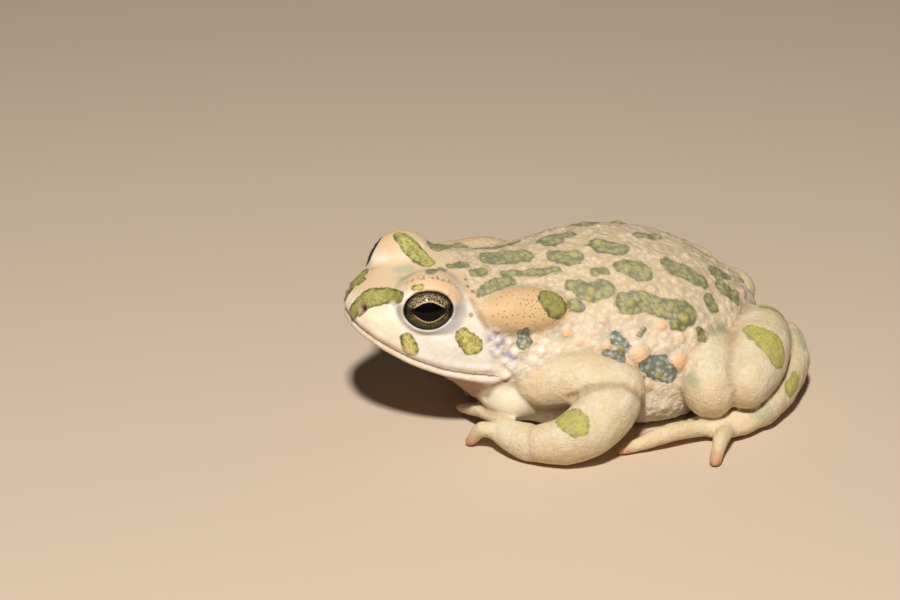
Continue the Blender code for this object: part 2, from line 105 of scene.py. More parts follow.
def hump(value, middle, width, height=1.0):
    """A smooth ridge of some height where the value is near the middle."""
    return height * np.exp(-(((value - middle) / width) ** 2))


def head_turned(points, way):
    """Rows of (left, back, up) with the turn of the head put in, way 1, or taken out, way -1."""
    points = np.atleast_2d(np.asarray(points, float))
    turn = way * HEAD_ROLL * soft_step(-points[:, 1], -ROLL_FADE[1], -ROLL_FADE[0])
    left, up = points[:, 0] - EYE_PLACE[0], points[:, 2] - EYE_PLACE[2]
    new_left = EYE_PLACE[0] + left * np.cos(turn) + up * np.sin(turn)
    new_up = EYE_PLACE[2] - left * np.sin(turn) + up * np.cos(turn)
    return np.column_stack((new_left, points[:, 1], new_up))


print("midline", round(MIDLINE, 5), "snout", round(SNOUT, 5))

# %% [markdown]
# The camera comes early, because the markings are placed through it. The photograph looks down on the toad's
# left side with a long lens, from a little in front. The near eye pins the frame: its middle falls on one
# known pixel, and the scale is known in pixels for each millimetre at that eye.

# %% Camera
AZIMUTH = 68.0
ELEVATION = 27.0
PIXELS_PER_MM = 6.6
LENS = 100.0
SENSOR = 36.0
PHOTO_WIDTH, PHOTO_HEIGHT = 900, 600
NEAR_EYE = place(8.5, 10.9, 23.0)
NEAR_EYE_PIXEL = (431, 309)


def towards(azimuth, elevation):
    """The direction away from the toad at these degrees from its front to its left and above level."""
    a, e = math.radians(azimuth), math.radians(elevation)
    return Vector((math.sin(a) * math.cos(e), -math.cos(a) * math.cos(e), math.sin(e)))


towards_camera = towards(AZIMUTH, ELEVATION)
bpy.ops.object.camera_add()
camera = bpy.context.object
camera.name = "camera"
camera.data.lens = LENS
camera.data.sensor_width = SENSOR
camera.rotation_euler = towards_camera.to_track_quat("Z", "Y").to_euler()
turned = camera.rotation_euler.to_matrix()
CAMERA_RIGHT, CAMERA_UP = turned.col[0].copy(), turned.col[1].copy()
distance = PHOTO_WIDTH / PIXELS_PER_MM * LENS / SENSOR * MM
aside = (NEAR_EYE_PIXEL[0] - PHOTO_WIDTH / 2) / PIXELS_PER_MM * MM
above = (PHOTO_HEIGHT / 2 - NEAR_EYE_PIXEL[1]) / PIXELS_PER_MM * MM
CAMERA_PLACE = NEAR_EYE - CAMERA_RIGHT * aside - CAMERA_UP * above + towards_camera * distance
camera.location = CAMERA_PLACE
camera.data.clip_start = 0.01
bpy.context.scene.camera = camera
print("camera distance", round(distance, 4))


def through_pixel(px, py):
    """The direction from the camera through a pixel of the photograph."""
    width = SENSOR / LENS / PHOTO_WIDTH
    aside = CAMERA_RIGHT * (px - PHOTO_WIDTH / 2) * width
    above = CAMERA_UP * (PHOTO_HEIGHT / 2 - py) * width
    return (aside + above - towards_camera).normalized()


# %% [markdown]
# One skin covers head, body and limbs, so no seam shows where the solids meet. Each solid is copied, swollen
# by a little more than half the gap between neighbours, and all the copies are joined. A voxel remesh then
# turns them into one even surface. Rings for the eyelid rims are added before the remesh, so that they grow
# out of the skin.

# %% Copies of the solids
FLESH = [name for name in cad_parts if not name.startswith("eye_")]
SWELLING = 0.2
VOXEL = 0.40
WELD = 0.000001


def only(obj):
    """Select one object alone and make it the active one."""
    bpy.ops.object.select_all(action="DESELECT")
    obj.select_set(True)
    bpy.context.view_layer.objects.active = obj


def apply_all(obj):
    only(obj)
    for modifier in list(obj.modifiers):
        bpy.ops.object.modifier_apply(modifier=modifier.name)


def on_whole_mesh(obj, operator, **options):
    """Run one operator of edit mode on everything in an object."""
    only(obj)
    bpy.ops.object.mode_set(mode="EDIT")
    bpy.ops.mesh.select_all(action="SELECT")
    operator(**options)
    bpy.ops.object.mode_set(mode="OBJECT")


def copy_of(name):
    copy = bpy.data.objects.new("copy_" + name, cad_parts[name].data.copy())
    bpy.context.scene.collection.objects.link(copy)
    on_whole_mesh(copy, bpy.ops.mesh.remove_doubles, threshold=WELD)
    return copy


def surface_tree(obj):
    """A tree over an object's faces, for rays and for the nearest place on it."""
    bm = bmesh.new()
    bm.from_mesh(obj.data)
    tree = BVHTree.FromBMesh(bm)
    bm.free()
    return tree


copies = {name: copy_of(name) for name in FLESH}
trees = {name: surface_tree(copy) for name, copy in copies.items()}
for copy in copies.values():
    swell = copy.modifiers.new("swell", "DISPLACE")
    swell.strength = SWELLING * MM
    swell.mid_level = 0.0
    apply_all(copy)
print("copied", len(copies), "solids")

# %% Eyelid rims
# Half widths and half heights of the rim and of the opening in it, by side: 1 is the left
RIM_SIZE = {1: (3.95, 3.25), -1: (4.05, 3.5)}
RIM_THICK = 0.45
RIM_LIFT = 0.1
LID_OPENING = {1: (3.5, 2.8), -1: (3.65, 3.1)}
# The tube of the ring before its vertices are moved to the eye
TUBE = 0.1


def eye_frame(side):
    """The middle of an eye and its level, rising and outward directions."""
    straight = Vector((EYE_AXIS.x * side, EYE_AXIS.y, EYE_AXIS.z))
    if side < 0:
        straight.rotate(Matrix.Rotation(RIGHT_EYE_TURN, 3, "Z"))
    level = straight.cross(Vector((0, 0, 1))).normalized()
    rise = level.cross(straight).normalized()
    roll = Matrix.Rotation(HEAD_ROLL, 3, "Y")
    centre = middle_of("eye_left" if side > 0 else "eye_right")
    return centre, roll @ level, roll @ rise, roll @ straight


def lid_rim(side):
    """A thin oval ring that hugs the eyeball at the edge of the lids."""
    centre, level, rise, out = eye_frame(side)
    bpy.ops.mesh.primitive_torus_add(
        major_segments=72, minor_segments=12, major_radius=1.0, minor_radius=TUBE, location=(0, 0, 0)
    )
    ring = bpy.context.object
    for vertex in ring.data.vertices:
        x, y, z = vertex.co
        beyond = (math.hypot(x, y) - 1.0) / TUBE * RIM_THICK
        turn = math.atan2(y, x)
        wide = RIM_SIZE[side][0] * math.cos(turn)
        high = RIM_SIZE[side][1] * math.sin(turn)
        reach = math.sqrt((EYE_RADIUS + RIM_LIFT) ** 2 - wide * wide - high * high)
        spot = level * (wide + beyond * math.cos(turn)) + rise * (high + beyond * math.sin(turn))
        vertex.co = centre + (spot + out * (reach + z / TUBE * RIM_THICK)) * MM
    on_whole_mesh(ring, bpy.ops.mesh.normals_make_consistent, inside=False)
    return ring


rims = [lid_rim(1), lid_rim(-1)]
# The right socket is closed with a ball first, because its new opening looks further forward
PLUG_RADIUS = EYE_RADIUS + 0.15
bpy.ops.mesh.primitive_uv_sphere_add(
    segments=64, ring_count=32, radius=PLUG_RADIUS * MM, location=middle_of("eye_right")
)
rims.append(bpy.context.object)
print("lid rims", len(rims))

# %% One surface


def soften(obj, rounds, group=""):
    """Add a modifier that evens out a surface, all over or in one vertex group."""
    smooth = obj.modifiers.new("soften", "SMOOTH")
    smooth.factor = 0.5
    smooth.iterations = rounds
    smooth.vertex_group = group


bpy.ops.object.select_all(action="DESELECT")
for piece in list(copies.values()) + rims:
    piece.select_set(True)
bpy.context.view_layer.objects.active = copies["torso"]
bpy.ops.object.join()
skin = bpy.context.object
skin.name = "toad_skin"
remesh = skin.modifiers.new("one skin", "REMESH")
remesh.mode = "VOXEL"
remesh.voxel_size = VOXEL * MM
soften(skin, 3)
apply_all(skin)


def drop_bubbles(obj):
    """Keep what is joined to the highest vertex, without what the remesh left closed inside."""
    bm = bmesh.new()
    bm.from_mesh(obj.data)
    unseen = set(bm.verts)
    stack = [max(bm.verts, key=lambda vertex: vertex.co.z)]
    while stack:
        vertex = stack.pop()
        if vertex in unseen:
            unseen.remove(vertex)
            stack += [edge.other_vert(vertex) for edge in vertex.link_edges]
    bmesh.ops.delete(bm, geom=list(unseen), context="VERTS")
    bm.to_mesh(obj.data)
    bm.free()
    return len(unseen)


print("dropped", drop_bubbles(skin), "vertices, left", len(skin.data.polygons), "faces")

# %% Soften the broad forms only, and leave the digits and lids as they are
NEAR_DIGITS = 0.0008
NEAR_EYES = 6 * MM
broad = skin.vertex_groups.new(name="broad")
thin = [trees[name] for name in FLESH if name.startswith(("hand", "foot"))]
middles = [middle_of("eye_left"), middle_of("eye_right")]
chosen = [
    v.index
    for v in skin.data.vertices
    if all(tree.find_nearest(v.co, NEAR_DIGITS)[0] is None for tree in thin)
    and all((v.co - middle).length > NEAR_EYES for middle in middles)
]
broad.add(chosen, 1.0, "REPLACE")
soften(skin, 14, "broad")
apply_all(skin)
print("softened", len(chosen), "of", len(skin.data.vertices))

# %% [markdown]
# The markings and the larger warts lie where the photograph shows them. A ray from the camera through a
# named pixel finds its place on the skin. Each marking is a chain of such places with a radius at each, and
# what a vertex needs to know is how deep inside such a chain it lies, in millimetres. An image texture could
# carry the same marks, but chains need no picture and can be mirrored to the hidden side.

# %% From pixels to the skin
spots = on_animal(vertex_rows(skin, "co"))
skin_tree = surface_tree(skin)


def on_skin(px, py):
    """The place on the toad, in its own millimetres, that a pixel of the photograph shows."""
    hit = skin_tree.ray_cast(CAMERA_PLACE, through_pixel(px, py))[0]
    return None if hit is None else on_animal(hit)


def chain_from_pixels(chain):
    """A chain of (px, py, radius) as rows of (left, back, up, radius)."""
    out = []
    for px, py, radius in chain:
        spot = on_skin(px, py)
        if spot is not None:
            out.append((*spot, radius))
    return out


OUTSIDE = -1000.0


def depth_in(chain, points):
    """How deep each point lies inside a chain of balls joined by cones; negative outside it."""
    best = np.full(len(points), OUTSIDE)
    for a, b in list(zip(chain, chain[1:])) or zip(chain, chain):
        start, end = np.array(a[:3]), np.array(b[:3])
        along = end - start
        length = max(1e-9, float(along @ along))
        share = np.clip((points - start) @ along / length, 0.0, 1.0)
        gap = np.linalg.norm(points - (start + share[:, None] * along), axis=1)
        best = np.maximum(best, a[3] + (b[3] - a[3]) * share - gap)
    return best


ARM_SHIFT = (1.0, 3.4, 0.0)
KNEE_SHIFT = (1.6, 1.6, -1.2)
LEG_SHIFT = (1.6, 1.6, 0.0)


def mirrored_chain(chain, shift=(0.0, 0.0, 0.0)):
    """A chain on the left side carried over to the right; the right limbs lie a little shifted."""
    out = []
    for left, back, up, radius in chain:
        straight = head_turned((left, back, up), -1)[0]
        straight = (-straight[0] + shift[0], straight[1] + shift[1], straight[2] + shift[2])
        out.append((*head_turned(straight, 1)[0], radius))
    return out


def depth_both(chain, shift=(0.0, 0.0, 0.0)):
    """How deep each vertex of the skin lies inside a chain or its mirror image."""
    return np.maximum(depth_in(chain, spots), depth_in(mirrored_chain(chain, shift), spots))


ends = np.empty(len(skin.data.edges) * 2, np.int64)
skin.data.edges.foreach_get("vertices", ends)
ends = ends.reshape(-1, 2)
neighbours = np.bincount(ends.ravel(), minlength=len(spots))


def spread(values, rounds):
    """Even out a mask over the skin by averaging each vertex with its neighbours."""
    for _ in range(rounds):
        total = np.bincount(ends[:, 0], values[ends[:, 1]], len(spots))
        total += np.bincount(ends[:, 1], values[ends[:, 0]], len(spots))
        values = 0.5 * values + 0.5 * total / np.maximum(neighbours, 1)
    return values


print("skin vertices", len(spots))

# %% Green patches, as chains of (px, py, radius in millimetres)
HEAD_PATCHES = {
    "canthus": ((351, 317, 0.8), (359, 306, 1.5), (370, 297, 1.6), (385, 295, 1.5), (399, 297, 1.0)),
    "cheek": ((407, 340, 1.15), (411, 349, 1.25)),
    "under_eye": ((463, 336, 1.35), (473, 346, 1.6)),
    "lid_spot": ((414, 288, 0.45), (421, 287, 0.5)),
    "far_lid": ((400, 236, 1.2), (410, 246, 1.5), (420, 257, 1.5), (428, 263, 1.1)),
    "far_snout": ((364, 279, 0.45), (359, 284, 0.35)),
    "on_parotoid": ((550, 300, 2.0), (556, 306, 2.0)),
}
LIMB_PATCHES = {
    "knee_rim": ((764, 307, 0.9), (778, 311, 1.2)),
    "shank": ((749, 329, 1.0), (759, 334, 1.9), (771, 342, 2.6), (777, 355, 2.2)),
    "tarsus": ((790, 389, 1.25), (796, 379, 1.1)),
    "forearm": ((566, 418, 1.8), (577, 424, 2.0)),
    "far_knee": ((698, 250, 0.9), (708, 256, 0.9)),
}
BACK_PATCHES = {
    "crown_c": ((429, 272, 0.7), (441, 270, 0.9)),
    "crown_d": ((450, 266, 0.8), (463, 265, 0.9)),
    "far_neck": ((436, 247, 1.5), (460, 247, 1.5)),
    "neck": ((491, 258, 1.9), (506, 257, 2.2), (522, 255, 1.7)),
    "neck_dot": ((474, 273, 0.8), (483, 272, 0.8)),
    "neck_line": ((504, 273, 0.7), (530, 272, 0.8), (556, 270, 0.7)),
    "over_parotoid": ((483, 291, 0.9), (495, 285, 1.3), (509, 280, 1.0)),
    "back_a": ((559, 256, 1.7), (573, 258, 1.7)),
    "back_b": ((599, 245, 2.0), (617, 248, 1.9)),
    "back_c": ((624, 267, 1.6), (640, 271, 2.1)),
    "back_d": ((640, 234, 1.0), (656, 236, 1.0)),
    "back_e": ((670, 266, 1.6), (686, 272, 1.7), (701, 281, 1.5)),
    "back_f": ((548, 240, 1.0), (570, 234, 0.9)),
    "back_g": ((596, 271, 0.8), (604, 271, 0.8)),
    "shoulder_a": ((573, 286, 1.2), (588, 292, 1.7), (603, 289, 1.8)),
    "shoulder_b": ((574, 305, 1.2), (580, 307, 1.0)),
    "flank_long": (
        (627, 303, 2.0), (645, 301, 1.7), (660, 308, 1.7), (675, 309, 1.6), (687, 313, 1.9),
        (679, 322, 1.6),
    ),
    "hip_dot": ((710, 301, 1.3), (713, 306, 1.2)),
    "hip_dot_low": ((700, 331, 0.8), (701, 336, 0.8)),
    "rump": ((722, 288, 1.4), (734, 298, 1.3)),
}
SLATE_PATCHES = {
    "flank_a": ((616, 338, 1.1), (623, 346, 1.1)),
    "flank_b": ((609, 355, 0.9), (618, 358, 1.3)),
    "flank_c": ((646, 364, 1.2), (658, 368, 2.1), (671, 376, 1.1)),
    "flank_d": ((639, 334, 0.4), (645, 329, 0.4)),
    "below_parotoid": ((524, 332, 0.9), (523, 341, 1.2)),
}
FAINT_PATCHES = {
    "crown_a": ((399, 269, 0.7), (408, 269, 0.8)),
    "crown_b": ((403, 278, 0.6), (409, 276, 0.6)),
    "thigh_dot": ((691, 376, 0.7), (694, 384, 0.8)),
    "thigh_top": ((713, 331, 0.8), (724, 328, 0.8)),
    "tarsus_low": ((757, 409, 1.1), (766, 413, 1.2)),
    "tarsus_top": ((797, 332, 0.8), (803, 346, 0.7)),
}
KINDS = dict(
    head=HEAD_PATCHES, limb=LIMB_PATCHES, back=BACK_PATCHES, slate=SLATE_PATCHES, faint=FAINT_PATCHES
)
# The right side, which the photograph hides, gets mirrored patches moved a little by a seeded draw
MIRRORED = (
    "canthus cheek under_eye on_parotoid flank_long flank_a flank_c hip_dot shank tarsus forearm shoulder_b "
    "below_parotoid over_parotoid back_a back_c back_e rump neck_line shoulder_a"
).split()
LIMB_SHIFTS = {"forearm": ARM_SHIFT, "shank": KNEE_SHIFT, "tarsus": LEG_SHIFT}
STRAY, STRAY_BACK = 0.8, 1.6
GROWTH = (0.85, 1.2)
draw = random.Random(4)
chains = {}
for kind, patches in KINDS.items():
    chains[kind] = {name: chain_from_pixels(chain) for name, chain in patches.items()}
for patches in chains.values():
    for name in [name for name in patches if name in MIRRORED]:
        moved = [draw.uniform(-most, most) for most in (STRAY, STRAY_BACK, STRAY)]
        grown = draw.uniform(*GROWTH)
        shift = LIMB_SHIFTS.get(name, (0, 0, 0))
        patches[name + "_right"] = [
            (left + moved[0], back + moved[1], up + moved[2], radius * grown)
            for left, back, up, radius in mirrored_chain(patches[name], shift)
        ]
# Patches on top of the rump, out of the photograph's sight, as rows of (left, back, radius)
HIDDEN_PATCHES = {
    "rump_top": ((5.2, 62.8, 1.3), (7.0, 60.2, 1.4)),
    "rump_right": ((-5.6, 60.4, 1.5), (-4.6, 57.2, 1.2)),
    "rump_low": ((-0.6, 68.0, 0.9), (1.2, 68.4, 0.8)),
}
HIGH = 60.0
for name, chain in HIDDEN_PATCHES.items():
    chains["back"][name] = []
    for side_way, along, radius in chain:
        hit = skin_tree.ray_cast(place(side_way, along, HIGH), Vector((0, 0, -1)))[0]
        chains["back"][name].append((side_way, along, hit.z / MM, radius))
print("patches", {kind: len(patches) for kind, patches in chains.items()})

# %% [markdown]
# Warts are mounds raised from the skin, with a few large ones where the photograph shows them and many
# small ones spread by a seeded draw. The back has scattered warts, the flanks are packed with granules, the
# skin behind the jaw carries whitish tubercles and the limbs are nearly smooth. Moved vertices were chosen
# over bump alone, so that the warts show at the outline too. Which part of the animal a vertex belongs to is
# read from the nearest solid.

# %% Regions of the skin
SEARCHED = 0.004
NOT_NEAR = 9.0
LIMB_EDGE = (-0.3, 0.6)
FEET_EDGE = (0.5, 2.5)
HEAD_EDGE = (-1.5, 3.0)
BELLY_EDGE = (-6.5, -2.0)


def gap_to(name):
    """The distance of each skin vertex from a solid, in millimetres, up to a limit."""
    tree = trees[name]
    out = np.full(len(spots), NOT_NEAR)
    for i, vertex in enumerate(skin.data.vertices):
        found = tree.find_nearest(vertex.co, SEARCHED)[3]
        if found is not None:
            out[i] = found / MM
    return out


gaps = {name: gap_to(name) for name in FLESH}
LIMBS = [name for name in FLESH if name not in ("head", "torso")]
limb_gap = np.min([gaps[name] for name in LIMBS], axis=0)
feet_gap = np.min([gaps[name] for name in LIMBS if name.startswith(("hand", "foot"))], axis=0)
trunk_gap = np.minimum(gaps["head"], gaps["torso"])
limb = soft_step(trunk_gap - limb_gap, *LIMB_EDGE)
feet = soft_step(np.minimum(trunk_gap, SEARCHED / MM) - feet_gap, *FEET_EDGE)
left, back, up = spots.T
# The head ends at a slanting plane through the neck, and the belly's edge rises towards the rear
neck_plane = 24.5 - 0.31 * up
head = (1 - limb) * (1 - soft_step(back - neck_plane, *HEAD_EDGE))
belly = (1 - limb) * soft_step(-up + 0.04 * back, *BELLY_EDGE)
print("head", round(float(head.mean()), 3), "limb", round(float(limb.mean()), 3))

# %% Glands and folds
PAROTOID_PLACE = np.array((10.3, 25.4, 21.0))
PAROTOID_RADII = (8.0, 3.7)
# Where its flat top ends, as a share of the radius, on its upper and on its lower side
PAROTOID_TOP = (0.6, 0.88)
PAROTOID_END = 1.06
straight_spots = head_turned(spots, -1)
# The long gland behind each eye: 1 on it, falling to 0 at its edge
parotoid = np.zeros(len(spots))
for side in (1, -1):
    along = np.array((0.16 * side, 1.0, -0.05))
    along /= np.linalg.norm(along)
    outward = np.array((0.62 * side, 0.0, 0.78))
    outward -= along * (along @ outward)
    outward /= np.linalg.norm(outward)
    over = np.cross(along, outward)
    away = straight_spots - PAROTOID_PLACE * (side, 1, 1)
    reach = np.hypot(away @ along / PAROTOID_RADII[0], away @ over / PAROTOID_RADII[1])
    inner = np.where((away @ over) * side * over[0] < 0, *PAROTOID_TOP)
    inside = (1 - soft_step(reach, inner, PAROTOID_END)) * (away @ outward > -1.5)
    parotoid = np.maximum(parotoid, inside)
# Pairs of solids with a valley between them, by how deep it is
FOLDS = {
    1.0: (
        "upper_arm forearm", "forearm torso", "thigh shank", "shank torso", "shank tarsus", "thigh tarsus",
        "shank foot", "thigh foot", "tarsus torso", "hand torso", "hand head", "foot torso",
    ),
    0.7: ("upper_arm torso", "thigh torso"),
    0.35: ("forearm hand",),
}
FOLD_WIDTH = 0.35
FOLD_OPENS = (0.9, 1.7)
# The valley between thigh and shank is shallow near the foot
FOLD_FADES = (4.0, 9.0)
fold = np.zeros(len(spots))
listed = [(depth, pair) for depth, pairs in FOLDS.items() for pair in pairs]
for (depth, pair), word in itertools.product(listed, ("_left", "_right")):
    first, second = (gaps[name if name in gaps else name + word] for name in pair.split())
    seam = hump(first - second, 0.0, FOLD_WIDTH) * (1 - soft_step(first + second, *FOLD_OPENS))
    if pair == "thigh shank":
        seam = seam * (0.3 + 0.7 * soft_step(up, *FOLD_FADES))
    fold = np.maximum(fold, seam * depth)
fold = np.minimum(1.0, spread(fold, 3) * 1.5)
CHEST_PLACE = np.array((10.4, 25.2, 6.6))
CHEST_RADII = np.array((5.0, 6.9, 5.0))
CHEST_EDGE = (0.9, 1.08)
CHEST_TOP = (-11.0, -8.5)
chest = np.zeros(len(spots))
for side in (1, -1):
    reach = np.linalg.norm((spots - CHEST_PLACE * (side, 1, 1)) / CHEST_RADII, axis=1)
    inside = (1 - limb) * (1 - soft_step(reach, *CHEST_EDGE)) * soft_step(-up, *CHEST_TOP)
    chest = np.maximum(chest, inside)
print("folded vertices", int((fold > 0.5).sum()), "on glands", int((parotoid > 0.5).sum()))

# %% Warts
NAMED_WARTS = (
    (567, 333, 0.85, 1.0), (606, 346, 0.9, 1.0), (661, 325, 1.1, 0.8), (639, 354, 1.9, 0.7),
    (679, 361, 1.8, 1.0), (580, 342, 0.8, 0.6), (604, 320, 0.8, 0.5), (628, 317, 0.8, 0.6),
    (680, 338, 1.0, 0.6), (643, 376, 0.8, 0.5), (648, 386, 1.1, 0.5), (663, 349, 0.7, 0.4),
    (696, 346, 0.8, 0.5), (593, 333, 0.7, 0.5), (641, 333, 0.7, 0.4), (700, 362, 0.8, 0.4),
    (653, 290, 0.9, 0.0), (630, 303, 0.9, 0.0), (660, 311, 0.8, 0.0), (671, 305, 0.7, 0.0),
    (684, 318, 1.1, 0.0), (689, 311, 0.7, 0.0), (620, 349, 0.9, 0.0), (588, 300, 0.8, 0.0),
    (612, 300, 0.7, 0.0), (576, 306, 0.8, 0.0), (626, 267, 0.9, 0.0), (638, 269, 1.0, 0.0),
)
JAW_WARTS = (
    (497, 353, 0.85), (506, 361, 0.9), (515, 352, 0.9), (524, 348, 0.95), (512, 366, 0.95),
    (520, 375, 0.95), (506, 376, 0.85), (533, 361, 0.9), (530, 372, 0.9), (498, 340, 0.6),
    (509, 343, 0.7), (541, 352, 0.8), (497, 330, 0.55), (488, 368, 0.6), (540, 366, 0.75),
)
NAMED_HEIGHT = 0.45
# Rows of (left, back, up, radius, height, share of orange)
warts = []
for *row, warm in NAMED_WARTS:
    for wart in chain_from_pixels([row]):
        warts.append((*wart, wart[3] * NAMED_HEIGHT, warm))
for wart in chain_from_pixels(JAW_WARTS):
    for both in (wart, mirrored_chain([wart])[0]):
        warts.append((*both, wart[3] * NAMED_HEIGHT, 0.0))
named = len(warts)

# %% Small warts, spread so that none overlap
# By region: the share left out, the share up to which they are small, the radii of small and of large ones
# and their height as a share of the radius
WART_KINDS = {
    "head": (0.75, 1.0, (0.35, 0.6), (), 0.25),
    "belly": (0.0, 1.0, (0.5, 0.7), (), 0.25),
    "flank": (0.0, 0.9, (0.5, 0.85), (0.9, 1.2), 0.36),
    "back": (0.45, 0.9, (0.45, 0.75), (0.8, 1.25), 0.25),
}
# The snout is bare, and large warts on the flanks are a little orange
BARE_SNOUT = 13
FLANK_TOP = 17
ORANGE_FROM, ORANGE_SHARE = 0.8, 0.35
WART_TRIES = 9000
CLEARANCE = 1.02
# Taken warts are kept in cubes of this side, so that only the nearest need a look
CELL = 3.0
grid = {}


def cube_of(spot):
    return tuple(int(c // CELL) for c in spot)


def near_others(spot, reach):
    key = cube_of(spot)
    for step in itertools.product((-1, 0, 1), repeat=3):
        for other, radius in grid.get(tuple(k + s for k, s in zip(key, step)), ()):
            if (other - spot).length < reach + radius:
                return True
    return False


def keep(spot, radius):
    grid.setdefault(cube_of(spot), []).append((spot, radius))


for wart in warts:
    keep(Vector(wart[:3]), wart[3])
draw = random.Random(23)
order = [draw.randrange(len(spots)) for _ in range(WART_TRIES)]
for i in order:
    if limb[i] > 0.5 or parotoid[i] > 0.2 or chest[i] > 0.3:
        continue
    region = "flank" if up[i] < FLANK_TOP else "back"
    if belly[i] > 0.5:
        region = "belly"
    if head[i] > 0.5:
        region = "head"
    left_out, small_up_to, small, large, rise = WART_KINDS[region]
    roll = draw.random()
    if roll < left_out or (region == "head" and back[i] < BARE_SNOUT):
        continue
    radius = draw.uniform(*(small if roll < small_up_to else large))
    spot = Vector(spots[i])
    if near_others(spot, radius * CLEARANCE):
        continue
    keep(spot, radius)
    warm = ORANGE_SHARE if region == "flank" and radius > ORANGE_FROM else 0.0
    warts.append((*spot, radius, radius * rise, warm))
print("warts", len(warts), "named", named)

# %% Raise the warts
# A shallow moat of this share of the height runs round each wart
MOAT = 0.12
normals = vertex_rows(skin, "normal")
raised, tip, orange = np.zeros((3, len(spots)))
tree = KDTree(len(spots))
for i, spot in enumerate(spots):
    tree.insert(spot, i)
tree.balance()
for x, y, z, radius, height, warm in warts:
    for _, i, gap in tree.find_range((x, y, z), radius * 1.25):
        share = gap / radius
        peak = max(0.0, 1 - share * share)
        lift = height * peak ** 0.75 - MOAT * height * max(0.0, 1 - abs(share - 1.1) / 0.2)
        raised[i] = lift if abs(lift) > abs(raised[i]) else raised[i]
        tip[i] = max(tip[i], peak)
        orange[i] = max(orange[i], peak * warm)
print("highest wart", round(float(raised.max()), 2))

# %% Mouth, creases and nostrils
# Rows of (behind the snout, to the side, up)
MOUTH_LINE = (
    (0.9, 2.2, 18.8), (2.0, 4.6, 18.2), (4.2, 6.9, 17.0), (7.8, 9.3, 15.2), (12.0, 11.1, 13.6),
    (16.5, 12.2, 12.4), (19.8, 12.5, 11.7),
)
MOUTH_FRONT = (0.0, 0.5, 18.85, 0.0)
mouth_left = [(wide, run, level, 0.0) for run, wide, level in MOUTH_LINE]
mouth_right = [(-wide, run, level, 0.0) for run, wide, level in MOUTH_LINE]
mouth = depth_in(mouth_right[::-1] + [MOUTH_FRONT] + mouth_left, straight_spots)
runs, _, levels = zip(*MOUTH_LINE)
under_jaw = np.interp(straight_spots[:, 1], runs, levels) - straight_spots[:, 2]
CREASES = {
    "arm": ((568, 398), (585, 390), (604, 386)),
    "jaw_end": ((486, 398), (494, 388), (508, 380), (522, 373)),
    "neck": ((473, 300), (480, 318), (487, 330)),
}
creases = np.full(len(spots), OUTSIDE)
for name, chain in CREASES.items():
    shift = ARM_SHIFT if name == "arm" else (0, 0, 0)
    chain = chain_from_pixels([(px, py, 0.0) for px, py in chain])
    creases = np.maximum(creases, depth_both(chain, shift))
NOSTRIL = (363, 308)
NOSTRIL_RADIUS = 0.62
nostril_at = (*on_skin(*NOSTRIL), NOSTRIL_RADIUS)
nostril = depth_both([nostril_at])
print("in the mouth line", int((mouth > -0.5).sum()), "in creases", int((creases > -0.5).sum()))

# %% Move the skin
# Grooves and the ridges beside them: where, how wide and how deep or high, in millimetres
MOUTH_GROOVE, MOUTH_RIDGE = (0.0, 0.42, 0.40), (-1.0, 0.5, 0.12)
CREASE_GROOVE, CREASE_RIDGE = (0.0, 0.35, 0.28), (-0.8, 0.4, 0.10)
NOSTRIL_RIDGE = (-0.45, 0.25, 0.15)
NOSTRIL_EDGE = (-0.25, 0.3)
NOSTRIL_DEPTH = 0.5
FOLD_DEPTH = 0.3
THROAT_DEPTH = 0.6
THROAT_END = (14.0, 19.0)
THROAT_TOP = (0.9, 2.4)
# Sizes and heights of the noises that make the skin uneven
LUMP, WRINKLE, PEBBLE = 4.5, 1.3, 1.15
LUMP_HEIGHT, WRINKLE_HEIGHT, PEBBLE_HEIGHT = 0.28, 0.10, 0.16
# How much lower the lumps are on the limbs
LIMB_CALM = 0.12
LIP_EDGE = (-1.6, -1.0)
# Below this height the skin rests on the floor
SOLE = 0.12
EYE_SINK = 0.35
EYE_DEEP = 8
lumps = np.array([noise.noise(Vector(spot) / LUMP) for spot in spots])
wrinkles = np.array([noise.noise(Vector(spot) / WRINKLE) for spot in spots])
pebbles = np.array([noise.voronoi(Vector(spot) / PEBBLE)[0][0] for spot in spots])
pebbled = (1 - limb) * (1 - head) * (1 - parotoid) * (1 - chest)
move = raised + (LUMP_HEIGHT - LIMB_CALM * limb) * lumps * (1 - head) + WRINKLE_HEIGHT * limb * wrinkles
move = move + PEBBLE_HEIGHT * pebbled * (0.5 - pebbles)
move = move - hump(mouth, *MOUTH_GROOVE) + hump(mouth, *MOUTH_RIDGE)
move = move - hump(creases, *CREASE_GROOVE) + hump(creases, *CREASE_RIDGE)
move = move - FOLD_DEPTH * fold
move = move - NOSTRIL_DEPTH * soft_step(nostril, *NOSTRIL_EDGE) + hump(nostril, *NOSTRIL_RIDGE)
front = 1 - soft_step(back, *THROAT_END)
move = move - THROAT_DEPTH * (1 - limb) * front * soft_step(under_jaw, *THROAT_TOP)
even = np.maximum(limb, soft_step(mouth, *LIP_EDGE))
move = move * (1 - even) + spread(move, 2) * even
flat = up < SOLE
move[flat] = np.minimum(move[flat], 0.0)
moved = spots + normals * move[:, None]


def seen_from_eye(points, side):
    """An eye's middle, and for each point the way from it, how far up and out, and its share of the oval."""
    centre, *axes = eye_frame(side)
    middle = on_animal(centre)
    away = points - middle
    x, y, z = (away @ np.array(axis) for axis in axes)
    return middle, away, y, z, np.hypot(x / LID_OPENING[side][0], y / LID_OPENING[side][1])


